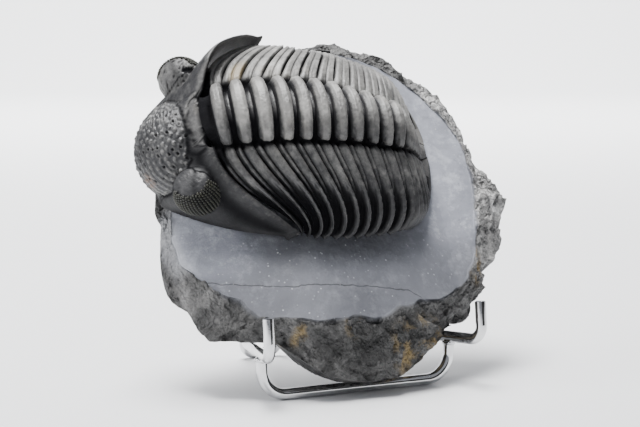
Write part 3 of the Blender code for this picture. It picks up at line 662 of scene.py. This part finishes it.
def fossil_shell(name):
    """Silicified shell: dark, grey on the flanks, light and warm on crests rubbed by wear; painted light on the
    far, upper side, painted shade on the near side, and near black painted shade in furrows, gaps and
    undersides.
    """
    material, tree, shader, place = node_material(name)
    wear_light_and_shade = read_value(tree, "wear_light_and_shade")
    painted_shade = read_value(tree, "painted_shade")
    painted_light_side = read_value(tree, "painted_light")
    cloud = texture(tree, "ShaderNodeTexNoise", place, 90.0, Detail=6.0, Roughness=0.62)
    dark = ramp(tree, cloud.outputs["Fac"], (0.30, (0.008, 0.008, 0.009)), (0.52, (0.021, 0.021, 0.023)),
                (0.72, (0.050, 0.050, 0.050)))
    light = ramp(tree, cloud.outputs["Fac"], (0.28, (0.110, 0.108, 0.104)), (0.50, (0.205, 0.200, 0.190)),
                 (0.74, (0.430, 0.422, 0.400)))
    mottle = texture(tree, "ShaderNodeTexNoise", place, 420.0, Detail=5.0, Roughness=0.7)
    # The mix of dark and light colour follows wear on crests, painted light on the far side and painted shade on
    # the near side
    amount = value_of(tree, "ADD", wear_light_and_shade, value_of(tree, "MULTIPLY", painted_light_side, 0.45))
    swing = value_of(tree, "MULTIPLY", value_of(tree, "SUBTRACT", mottle.outputs["Fac"], 0.5), 1.1)
    amount = value_of(tree, "ADD", amount, swing)
    amount = ramp(tree, amount, (0.08, 0.0), (1.0, 1.0))
    colour = blend(tree, amount, dark, light)
    warm = texture(tree, "ShaderNodeTexNoise", place, 60.0, Detail=3.0)
    tint = ramp(tree, warm.outputs["Fac"], (0.58, 0.0), (0.72, 0.35))
    colour = blend(tree, value_of(tree, "MULTIPLY", tint, amount), colour, (0.30, 0.26, 0.19))
    colour = blend(tree, read_value(tree, "rust"), colour, (0.20, 0.105, 0.06))
    colour = blend(tree, read_value(tree, "ochre"), colour, (0.27, 0.20, 0.09))
    # Painted shade: near black in furrows, gaps, pits and on undersides
    colour = blend(tree, painted_shade, colour, (0.006, 0.006, 0.007))
    tree.links.new(colour, shader.inputs["Base Color"])
    gloss = ramp(tree, mottle.outputs["Fac"], (0.35, 0.36), (0.70, 0.58))
    dull = value_of(tree, "MULTIPLY", painted_shade, 0.4)
    tree.links.new(value_of(tree, "ADD", gloss, dull), shader.inputs["Roughness"])
    shine = value_of(tree, "SUBTRACT", 0.5, value_of(tree, "MULTIPLY", painted_shade, 0.45))
    tree.links.new(shine, shader.inputs["Specular IOR Level"])
    grain = texture(tree, "ShaderNodeTexVoronoi", place, 1500.0)
    rise = value_of(tree, "SUBTRACT", 1.0, grain.outputs["Distance"])
    below = bump(tree, shader, rise, 0.00010, 0.5)
    fine = texture(tree, "ShaderNodeTexNoise", place, 2400.0, Detail=4.0, Roughness=0.7)
    bump(tree, shader, fine.outputs["Fac"], 0.00012, 0.6, below)
    return material


shell_material = fossil_shell("fossil_shell_calcite")


def shell_plate(name, node, first, last, rows, columns, ribs, seed):
    """One plate of the shell between two joints, with its inner face over the stone core."""
    piece = new_piece(name, sheet(rows, columns), shell_material, 75.0)
    mesh = piece.data
    flat = np.empty(len(mesh.vertices) * 3, np.float32)
    mesh.vertices.foreach_get("co", flat)
    flat = flat.reshape(-1, 3).astype(float)
    t = flat[:, 1] + 0.5
    y = flat[:, 0] * 2.0
    outer = flat[:, 2] > 0.5
    _, pace = shell_at(first + (last - first) * t, y, np.zeros(len(y)))
    trim = np.minimum(0.5 * SEAM / np.maximum(pace, 0.5), 0.3)
    q = first + trim + (last - (trim if last <= SEGMENTS else 0.002) - first - trim) * t
    lift = ribs(t, y)
    # Each half-ring tucks in under the ring before it, the first one under the neck ring
    tuck, tuck_end = (0.30, 0.20) if first == 0 else (0.18, 0.10)
    if last <= SEGMENTS:
        q = q - tuck * smooth(tuck_end, 0.0, t) * smooth(0.45, 0.30, np.abs(y))
    flank = np.where(outer, y, y * 0.985)
    raised = np.where(outer, lift, np.minimum(-PLATE - 0.6, lift - PLATE))
    points, _ = shell_at(q, flank, raised)
    crest = np.zeros(len(points))
    on_top = outer & (t > 0.02) & (t < 0.995)
    grains = granules(points[on_top], 0.85, seed, 0.16, 0.25)
    worn_band = smooth(0.45, 0.6, t[on_top]) * (0.35 + 0.65 * smooth(LOBE + 0.1, LOBE, np.abs(y[on_top])))
    beads = np.exp(-((t[on_top] - 0.90) / 0.05) ** 2) * smooth(0.45, 0.65, np.abs(y[on_top]))
    row = np.clip(np.sin(y[on_top] * 150.0 + seed), 0.0, 1.0) * beads
    crest[on_top] = grains * worn_band + 0.22 * row + 0.09 * fractal(points[on_top], 0.8, seed, 4)
    points[:, 2] += crest
    points = seat(points, np.where(outer, 1.6, 0.3))
    set_points(mesh, to_world(points))
    side = np.abs(y)
    height = smooth(-1.4, 0.5, lift)
    lobe = smooth(LOBE + 0.02, LOBE - 0.05, side)
    far = smooth(-0.1, 0.35, y)
    outside = smooth(0.45, 0.75, side) * (1 - far)
    # Raised parts and granules lighter with wear, plus painted light and shade: much darker on the near side,
    # darker on its outer pleurae, a little darker on the far side, and the rings lighter or darker from segment
    # to segment
    wear_light_and_shade = height * ((0.78 - 0.66 * outside) * (1 - lobe) + 1.30 * lobe) * (0.80 + 0.05 * far) + 1.6 * crest
    wear_light_and_shade = wear_light_and_shade * (0.36 + 0.64 * smooth(-0.26, 0.04, y)) - 0.17 * far + 0.05 * (1 - lobe) * (1 - outside)
    wear_light_and_shade = wear_light_and_shade * (1.0 + (np.interp(first, (0, 1, 5, 8, 11), (0.75, 1.35, 1.2, 0.75, 0.7)) - 1.0) * lobe)
    wear_light_and_shade = wear_light_and_shade * (1.0 + 0.35 * (1 - lobe) * (1 - far) * (1 - outside))
    point_value(mesh, "wear_light_and_shade", np.clip(wear_light_and_shade, 0.0, 1.0))
    # Painted shade, near black: the axial furrow, the low parts of rings and pleurae, the inner face, and the
    # gap where the first half-ring tucks under the neck
    groove = np.exp(-((side - LOBE) / 0.022) ** 2) + smooth(-0.7, -1.7, lift) * lobe
    groove = groove + smooth(-0.35, -1.2, lift) * (1 - lobe) * (0.55 + 0.45 * outside) + (1.0 - outer)
    if first == 0:
        groove = groove + 2.0 * smooth(0.36, 0.26, t) * smooth(0.5, 0.4, side)
    point_value(mesh, "painted_shade", np.clip(groove, 0.0, 1.0))
    # Painted light on the raised parts of the far pleurae
    point_value(mesh, "painted_light", far * (1 - lobe) * height)
    if first == 1:
        point_value(mesh, "ochre", 0.6 * smooth(0.12, 0.03, np.hypot(y - 0.42, 0.2 * (t - 0.7))))
    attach(piece, "root")
    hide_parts(node)
    return piece


for k in range(SEGMENTS):
    shell_plate(f"thorax_segment_{k + 1:02d}_shell", f"thorax_segment_{k + 1:02d}", k, k + 1, SHELL_ROWS,
                SHELL_COLUMNS, lambda t, y, k=k: segment_relief(t, y, k), 3.0 + 5.0 * k)


# The tail shield: one plate whose rings and ribs fade towards a plain rounded margin, coarsely
# granular all over. It is the same shell as the thorax, and its front edge meets segment eleven.
TAIL_ROWS = 110
TAIL_COLUMNS = 260
TAIL_RINGS = 8.5


def tail_relief(t, y):
    side = np.abs(y)
    waves = np.cos(t ** 0.85 * 2 * math.pi * TAIL_RINGS)
    axis = smooth(LOBE + 0.04, LOBE - 0.04, side)
    ribs = np.cos((t - 0.35 * side) * 2 * math.pi * 6.5)
    relief = 0.50 * waves * axis * smooth(0.92, 0.6, t) + 0.38 * ribs * (1 - axis) * smooth(0.95, 0.72, side)
    relief = relief * smooth(1.0, 0.75, t)
    furrow = 0.6 * np.exp(-((side - LOBE) / 0.03) ** 2) * smooth(0.95, 0.6, t)
    return relief - 0.6 * smooth(0.08, 0.0, t) - furrow


shell_plate("pygidium_shell", "pygidium", SEGMENTS + 0.02, SEGMENTS + 0.985, TAIL_ROWS, TAIL_COLUMNS,
            tail_relief, 77.0)


# The head shield: one plate with the swollen, pimpled glabella in front, the neck ring behind it,
# dark smooth cheeks with a granular rear border, and a stalked eye on each side. The ball of the
# mesh is drawn out from a line inside the head to the surface, and the pimples are set on it.
GAP = 0.35
HEAD_CLEAR = 1.5
PITCH = math.radians(40.0)
HEAD_U = 3.8
HEAD_W = -14.4
HEAD_HALF = 31.9
HEAD_EDGE = 33.4
GLABELLA = (24.5, 0.0, 8.2)
GLABELLA_RADII = (14.0, 15.4, 13.6)
NECK = (14.6, 0.0, 14.2)
NECK_RADII = (4.8, 12.5, 8.8)
EYE = (20.9, 19.0, 14.2)
EYE_RADII = (6.8, 6.2, 8.4)
EYE_SHIFT = 1.5
EYE_TOP = 21.0
FAR_EYE = (1.0, 1.6)
TUBERCLES = 760
HEAD_ROUND = 340
HEAD_ACROSS = 260


def ellipsoid(f, y, d, centre, radii):
    return 1.0 - np.sqrt(((f - centre[0]) / radii[0]) ** 2 + ((y - centre[1]) / radii[1]) ** 2
                         + ((d - centre[2]) / radii[2]) ** 2)


def blend_max(first, second, width):
    h = np.clip(0.5 + 0.5 * (first - second) / width, 0.0, 1.0)
    return second * (1 - h) + first * h + width * h * (1 - h)


def body_to_head(uvw):
    du, dw = HEAD_U - uvw[:, 0], uvw[:, 2] - HEAD_W
    f = du * math.cos(PITCH) - dw * math.sin(PITCH)
    d = du * math.sin(PITCH) + dw * math.cos(PITCH)
    return np.stack([f, uvw[:, 1], d], 1)


joint_curve = shell(np.zeros(241), np.linspace(-1.0, 1.0, 241))


def joint_line(v):
    u, side, w = joint_curve.T
    return np.interp(v, side, u), np.interp(v, side, w)


def head_forms(uvw):
    f, y, d = body_to_head(uvw).T
    u, w = uvw[:, 0], uvw[:, 2]
    glabella = 14.0 * ellipsoid(f, y, d, GLABELLA, GLABELLA_RADII)
    neck = 8.0 * ellipsoid(f, y, d, NECK, NECK_RADII)
    joint_u, joint_w = joint_line(y)
    out = np.abs(y) / np.where(y > 0.0, HEAD_EDGE + FAR_REACH - 2.0, HEAD_EDGE)
    reach = np.interp(out, (0.0, 0.3, 0.45, 0.6, 0.73, 0.85, 0.955, 1.0),
                      (9.5, 10.0, 10.5, 7.5, 6.5, 6.0, 5.0, 3.0))
    behind = joint_u - u
    ahead = np.clip(behind / reach, 0.0, 1.5)
    level = furrow_height(np.array(JOINT_U[0])) - 3.0 * smooth(9.5, 7.0, np.abs(y))
    crest = np.maximum(np.minimum(joint_w, level), stone_plane(u) + 4.2 - 1.2 * smooth(0.9, 1.0, out)) + 0.3
    cheek = crest - (crest - stone_plane(u)) * ahead ** 1.8 - w
    cord = np.interp(y, (10.0, 15.0, 22.0, 30.0, 36.0), (0.0, 6.0, 7.5, 5.5, 3.0)) * smooth(1.0, 0.93, out)
    cheek = cheek + cord * np.exp(-((behind - 1.9) / 1.9) ** 4)
    border = 1.0 * np.exp(-((behind - 1.6) / 1.2) ** 2) - 1.3 * np.exp(-((behind - 4.4) / 1.1) ** 2)
    cheek = cheek + border * smooth(0.95, 0.80, out) * smooth(8.0, 12.0, np.abs(y))
    cheek = np.minimum(cheek, 3.2 * HEAD_EDGE * (1.0 - out))
    far = smooth(2.0, 8.0, y)
    f, d = f + FAR_EYE[0] * far, d + FAR_EYE[1] * far
    eye = 8.0 * ellipsoid(f, np.abs(y - EYE_SHIFT), d, EYE, EYE_RADII)
    eye = -blend_max(-eye, d - EYE_TOP, 2.5)
    return glabella, neck, cheek, eye


def inside_head(uvw):
    glabella, neck, cheek, eye = head_forms(uvw)
    solid = blend_max(blend_max(blend_max(glabella, neck, 1.0), cheek, 0.6), eye, 0.5)
    joint_u, joint_w = joint_line(uvw[:, 1])
    below = joint_w - uvw[:, 2]
    lean = 0.10 * np.clip(below, 0.0, None)
    tuck = 3.0 * smooth(4.2, 5.4, below) * smooth(24.0, 20.0, np.abs(uvw[:, 1]))
    joint = joint_u - GAP - 0.1 - lean + tuck - uvw[:, 0]
    stone = uvw[:, 2] - mound(uvw[:, 0], uvw[:, 1]) - HEAD_CLEAR
    return np.minimum(np.minimum(solid, joint), stone), joint, stone


def head_skeleton(across):
    """A line inside the head from genal corner to genal corner, and its forward direction."""
    half = np.where(across > 0.0, HEAD_HALF + FAR_REACH - 2.0, HEAD_HALF)
    v = half * np.sin(across * math.pi / 2)
    middle = 1.0 - (v / half) ** 2
    joint_u, _ = joint_line(v)
    u = joint_u - 1.6 - 4.5 * middle
    w = stone_plane(u) + 1.95 + 8.5 * middle
    forward = np.stack([-np.ones(len(v)), np.gradient(u, v), np.zeros(len(v))], 1)
    return np.stack([u, v, w], 1), forward / np.linalg.norm(forward, axis=1)[:, None]


def pimples(fyd):
    """Domes and a few craters over the glabella: height, and how much each point is on a crest."""
    rays = (fyd - np.array(GLABELLA)) / np.array(GLABELLA_RADII)
    rays /= np.linalg.norm(rays, axis=1)[:, None]
    index = np.arange(TUBERCLES) + 0.5
    polar = np.arccos(1.0 - 2.0 * index / TUBERCLES)
    turn = math.pi * (1.0 + math.sqrt(5.0)) * index
    spots = np.stack([np.cos(turn) * np.sin(polar), np.sin(turn) * np.sin(polar), np.cos(polar)], 1)
    tree = kdtree.KDTree(TUBERCLES)
    sizes = []
    for i, spot in enumerate(spots):
        where = Vector(spot) + noise.noise_vector(Vector(spot) * 9.0) * 0.035
        tree.insert(where, i)
        sizes.append(0.5 + 0.9 * abs(noise.noise(Vector(spot) * 31.0 + Vector((4.0, 1.0, 7.0)))))
    tree.balance()
    height = np.zeros(len(rays))
    for i, ray in enumerate(rays):
        where, k, distance = tree.find(ray)
        across = distance / 0.052
        if sizes[k] < 0.66:
            height[i] = -0.75 * math.exp(-(across / 0.45) ** 2) + 0.30 * math.exp(-((across - 0.8) / 0.28) ** 2)
        else:
            height[i] = 0.62 * sizes[k] * max(0.0, 1.0 - across ** 2)
    return height


def line_distance(points, start, end):
    """Distance of points from a straight line between two places."""
    start, end = np.array(start), np.array(end)
    t = np.clip(((points - start) @ (end - start)) / ((end - start) @ (end - start)), 0.0, 1.0)
    return np.linalg.norm(points - start - t[:, None] * (end - start), axis=1)


def cephalon_piece():
    bm = bmesh.new()
    bmesh.ops.create_uvsphere(bm, u_segments=HEAD_ROUND, v_segments=HEAD_ACROSS, radius=1.0)
    piece = new_piece("cephalon_shell", bm, shell_material, 75.0)
    mesh = piece.data
    ball = np.empty(len(mesh.vertices) * 3, np.float32)
    mesh.vertices.foreach_get("co", ball)
    ball = ball.reshape(-1, 3).astype(float)
    across = np.arcsin(np.clip(ball[:, 2], -1.0, 1.0)) / (math.pi / 2) * 0.97
    turn = np.arctan2(ball[:, 1], ball[:, 0])
    stations = np.linspace(-0.97, 0.97, 201)
    line, forward = head_skeleton(stations)
    start = np.stack([np.interp(across, stations, line[:, i]) for i in range(3)], 1)
    ahead = np.stack([np.interp(across, stations, forward[:, i]) for i in range(3)], 1)
    rays = ahead * np.cos(turn)[:, None] + np.array((0.0, 0.0, 1.0)) * np.sin(turn)[:, None]
    rays[np.abs(ball[:, 2]) > 0.9999] = (0.0, 0.0, 1.0)
    rays[:, 1] += 0.4 * np.sign(across) * np.abs(across) ** 6
    low = np.zeros(len(rays))
    alive = np.ones(len(rays), dtype=bool)
    for step in np.arange(0.4, 40.0, 0.4):
        now = np.nonzero(alive)[0]
        alive[now] = inside_head(start[now] + rays[now] * step)[0] > 0.0
        low[alive] = step
    high = low + 0.4
    for _ in range(9):
        middle = (low + high) / 2
        inside = inside_head(start + rays * middle[:, None])[0] > 0.0
        low = np.where(inside, middle, low)
        high = np.where(inside, high, middle)
    points = start + rays * low[:, None]
    # The furrow between glabella and neck ring is eased, as the rays graze it
    set_points(mesh, points)
    _, joint, _ = inside_head(points)
    bm = bmesh.new()
    bm.from_mesh(mesh)
    furrow_verts = [vert for vert, room in zip(bm.verts, joint) if 0.9 < room < 9.0 and abs(vert.co.y) < 16.0]
    for _ in range(14):
        bmesh.ops.smooth_vert(bm, verts=furrow_verts, factor=0.5,
                              use_axis_x=True, use_axis_y=True, use_axis_z=True)
    points = np.array([vert.co[:] for vert in bm.verts])
    bm.free()
    fyd = body_to_head(points)
    _, joint, stone = inside_head(points)
    clear = smooth(0.8, 2.2, joint) * smooth(0.6, 2.0, stone)
    glabella, neck, cheek, eye = head_forms(points)
    on_glabella = smooth(-0.8, 0.2, glabella - np.maximum(neck, cheek)) * smooth(-0.5, 0.3, glabella - eye)
    on_eye = smooth(-0.2, 0.4, eye - np.maximum(np.maximum(glabella, neck), cheek))
    on_cheek = smooth(-0.3, 0.3, cheek - np.maximum(np.maximum(glabella, neck), eye))
    joint_u, _ = joint_line(points[:, 1])
    on_border = on_cheek * smooth(3.4, 2.6, joint_u - points[:, 0])
    on_neck = smooth(-0.3, 0.3, neck - np.maximum(np.maximum(glabella, cheek), eye))
    bumps = pimples(fyd) * on_glabella
    small = granules(points, 0.9, 21.0, 0.18, 0.2)
    bumps = bumps + small * np.clip(1.6 * on_border, 0.0, 1.6) + 0.05 * small * on_cheek
    pits = granules(points, 1.3, 44.0, 0.30, 0.15) * (0.4 + 0.6 * smooth(-2.0, 4.0, points[:, 1]))
    slit = line_distance(fyd, (17.4, 19.6, 20.2), (14.0, 19.0, 16.6))
    pits = pits + 0.5 * smooth(1.3, 0.3, slit)
    bumps = bumps - pits * on_eye + 0.10 * fractal(points, 0.45, 31.0, 4)
    set_points(mesh, to_world(points))
    outward = np.empty(len(points) * 3, np.float32)
    mesh.vertices.foreach_get("normal", outward)
    set_points(mesh, to_world(points) + outward.reshape(-1, 3) * (bumps * clear)[:, None] * MM)
    near = smooth(2.0, -4.0, points[:, 1])
    behind = joint_u - points[:, 0]
    # Tubercle tops, the neck ring and the cheek's raised rear border lighter with wear; painted shade on the
    # near cheek and painted light on the far eye
    wear_light_and_shade = on_glabella * (0.02 + 0.85 * np.clip(bumps, -0.3, 0.5)) + 0.30 * on_neck
    ridge = on_cheek * smooth(2.6, 2.0, behind) * smooth(0.3, 0.7, behind)
    wear_light_and_shade = wear_light_and_shade + ridge * (0.30 + 1.0 * bumps) - on_cheek * 0.12 * near + 0.30 * on_eye * (1 - near)
    point_value(mesh, "wear_light_and_shade", np.clip(wear_light_and_shade, 0.0, 1.0))
    # Painted shade, near black: the furrows round the glabella and neck, pits, the slit and the underside of the
    # lid on the near eye, hidden parts, the edge by the first segment, and the near cheek
    contact = blend_max(glabella, neck, 0.1) - cheek
    pitted = np.clip(on_glabella + on_eye, 0.0, 1.0)
    furrow = np.exp(-(contact / 0.55) ** 2) + smooth(0.02, -0.35, bumps) * pitted
    furrow = furrow + 0.6 * np.exp(-((glabella - neck) / 1.1) ** 2) * smooth(0.3, -0.3, cheek - glabella)
    edge = smooth(0.9, 0.3, joint) * smooth(26.0, 12.0, np.abs(points[:, 1]))
    hidden = 0.5 * (1 - clear) * smooth(8.0, 2.0, points[:, 1])
    furrow = furrow + (0.7 * np.exp(-((behind - 3.7) / 0.9) ** 2) + 0.35) * on_cheek * near
    under_lid = near * smooth(EYE_TOP - 0.8, EYE_TOP - 2.0, fyd[:, 2])
    furrow = furrow + on_eye * (smooth(1.4, 0.5, slit) + 0.9 * under_lid)
    point_value(mesh, "painted_shade", np.clip(0.9 * furrow * clear + hidden + edge, 0.0, 1.0))
    # Painted light on the far cheek
    point_value(mesh, "painted_light", 0.2 * (1 - near) * on_cheek)
    rust = smooth(3.4, 0.8, np.linalg.norm(fyd - np.array((34.3, -9.2, 13.5)), axis=1))
    point_value(mesh, "rust", 0.55 * rust * smooth(-0.1, 0.3, bumps))
    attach(piece, "root")
    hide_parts("cephalon")


cephalon_piece()


# The compound eyes: on each side a curved band of round calcite lenses in upright rows, set in
# the outer wall of the eye under its lid. Dark olive, slightly glassier than the shell.
def lens_material():
    material, tree, shader, place = node_material("eye_lens_calcite")
    cloud = texture(tree, "ShaderNodeTexNoise", place, 500.0, Detail=3.0)
    colour = ramp(tree, cloud.outputs["Fac"], (0.35, (0.006, 0.007, 0.004)), (0.70, (0.022, 0.022, 0.012)))
    tree.links.new(colour, shader.inputs["Base Color"])
    shader.inputs["Roughness"].default_value = 0.5
    return material


LENS = 0.38
LENS_ROWS = 13
LENS_FILES = 19


def eye_lenses(name, hand, material):
    bm = bmesh.new()
    for i in range(LENS_FILES):
        swing = math.radians(-75.0 + 150.0 * i / (LENS_FILES - 1))
        for j in range(LENS_ROWS):
            rise = math.radians(-26.0 + 6.6 * (j + 0.5 * (i % 2)))
            way = Vector((math.sin(swing) * math.cos(rise), math.cos(swing) * math.cos(rise), math.sin(rise)))
            spot = Vector(centre + radius * part for centre, radius, part in zip(EYE, EYE_RADII, way))
            if spot.z > EYE_TOP - 0.9:
                continue
            f, y, d = spot.x, hand * spot.y + EYE_SHIFT, spot.z
            if hand > 0:
                f, d = f - FAR_EYE[0], d - FAR_EYE[1]
            du = f * math.cos(PITCH) + d * math.sin(PITCH)
            dw = -f * math.sin(PITCH) + d * math.cos(PITCH)
            place = to_world(np.array([[HEAD_U - du, y, HEAD_W + dw]]))[0]
            made = bmesh.ops.create_icosphere(bm, subdivisions=2, radius=LENS * MM)["verts"]
            bmesh.ops.translate(bm, vec=Vector(place), verts=made)
    piece = new_piece(name, bm, material, 60.0)
    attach(piece, "root")


lens_calcite = lens_material()
eye_lenses("left_eye_lenses", -1, lens_calcite)
eye_lenses("right_eye_lenses", 1, lens_calcite)


# The table top under the stand and the studio round it: a pale sweep, a large soft light above,
# a weak one from the left, one on the backdrop, and two black cards. The camera stands low, left.
def studio():
    """A table top that sweeps up into a backdrop, square to the camera."""
    bm = bmesh.new()
    bmesh.ops.create_grid(bm, x_segments=1, y_segments=1, size=2.0)
    far_edge = [e for e in bm.edges if all(v.co.y > 1.9 for v in e.verts)]
    bmesh.ops.spin(bm, geom=far_edge, cent=(0.0, 2.0, 1.2), axis=(1.0, 0.0, 0.0), angle=math.radians(80.0),
                   steps=40)
    turned = Matrix.Rotation(math.radians(-28.0), 3, "Z")
    bmesh.ops.rotate(bm, cent=(0.0, 0.0, 0.0), matrix=turned, verts=bm.verts[:])
    bmesh.ops.recalc_face_normals(bm, faces=bm.faces[:])
    material, _, shader, _ = node_material("table_top")
    shader.inputs["Base Color"].default_value = (0.90, 0.905, 0.915, 1.0)
    shader.inputs["Roughness"].default_value = 0.55
    mesh = bpy.data.meshes.new("table_top")
    bm.to_mesh(mesh)
    bm.free()
    mesh.shade_smooth()
    mesh.materials.append(material)
    floor = bpy.data.objects.new("table_top", mesh)
    bpy.context.scene.collection.objects.link(floor)


def dark_card(name, place, width, height):
    """A black card that gives the bright rods their dark stripes, outside the picture."""
    bm = bmesh.new()
    turned = (-Vector(place)).to_track_quat("Z", "Y").to_matrix().to_4x4()
    turned.translation = Vector(place)
    sized = turned @ Matrix.Diagonal((width, height, 1, 1))
    bmesh.ops.create_grid(bm, x_segments=1, y_segments=1, size=0.5, matrix=sized)
    mesh = bpy.data.meshes.new(name)
    bm.to_mesh(mesh)
    bm.free()
    material, _, shader, _ = node_material(name)
    shader.inputs["Base Color"].default_value = (0.01, 0.01, 0.01, 1.0)
    shader.inputs["Roughness"].default_value = 0.9
    mesh.materials.append(material)
    card = bpy.data.objects.new(name, mesh)
    bpy.context.scene.collection.objects.link(card)


dark_card("front_card", (0.09, -0.22, 0.065), 0.22, 0.13)
dark_card("right_card", (0.80, -0.30, 0.25), 1.00, 0.60)


def soft_light(name, place, aim, size, power):
    light = bpy.data.lights.new(name, "AREA")
    light.shape = "RECTANGLE"
    light.size, light.size_y = size
    light.energy = power
    lamp = bpy.data.objects.new(name, light)
    lamp.location = place
    lamp.rotation_euler = (Vector(aim) - Vector(place)).to_track_quat("-Z", "Y").to_euler()
    bpy.context.scene.collection.objects.link(lamp)


studio()
soft_light("top_light", (-0.10, 0.08, 0.80), (0.0, 0.0, 0.05), (0.55, 0.32), 17.0)
soft_light("left_light", (-0.75, 0.10, 0.35), (0.0, 0.0, 0.06), (0.35, 0.5), 3.0)
soft_light("backdrop_light", (0.45, 0.95, 1.5), (0.9, 2.2, 0.5), (1.6, 0.6), 175.0)

world = bpy.data.worlds.new("studio_air")
world.use_nodes = True
world.node_tree.nodes["Background"].inputs["Color"].default_value = (0.90, 0.93, 1.0, 1.0)
world.node_tree.nodes["Background"].inputs["Strength"].default_value = 0.40
bpy.context.scene.world = world

camera_data = bpy.data.cameras.new("camera")
camera_data.sensor_width = 36.0
camera_data.lens = 106.875
camera_data.clip_start = 0.01
camera = bpy.data.objects.new("camera", camera_data)
camera.location = (-0.25766, -0.46209, 0.10637)
azimuth, elevation = math.radians(-28.0), math.radians(6.0)
toward = Vector((-math.sin(azimuth) * math.cos(elevation), math.cos(azimuth) * math.cos(elevation),
                 -math.sin(elevation)))
camera.rotation_euler = toward.to_track_quat("-Z", "Y").to_euler()
bpy.context.scene.collection.objects.link(camera)
bpy.context.scene.camera = camera
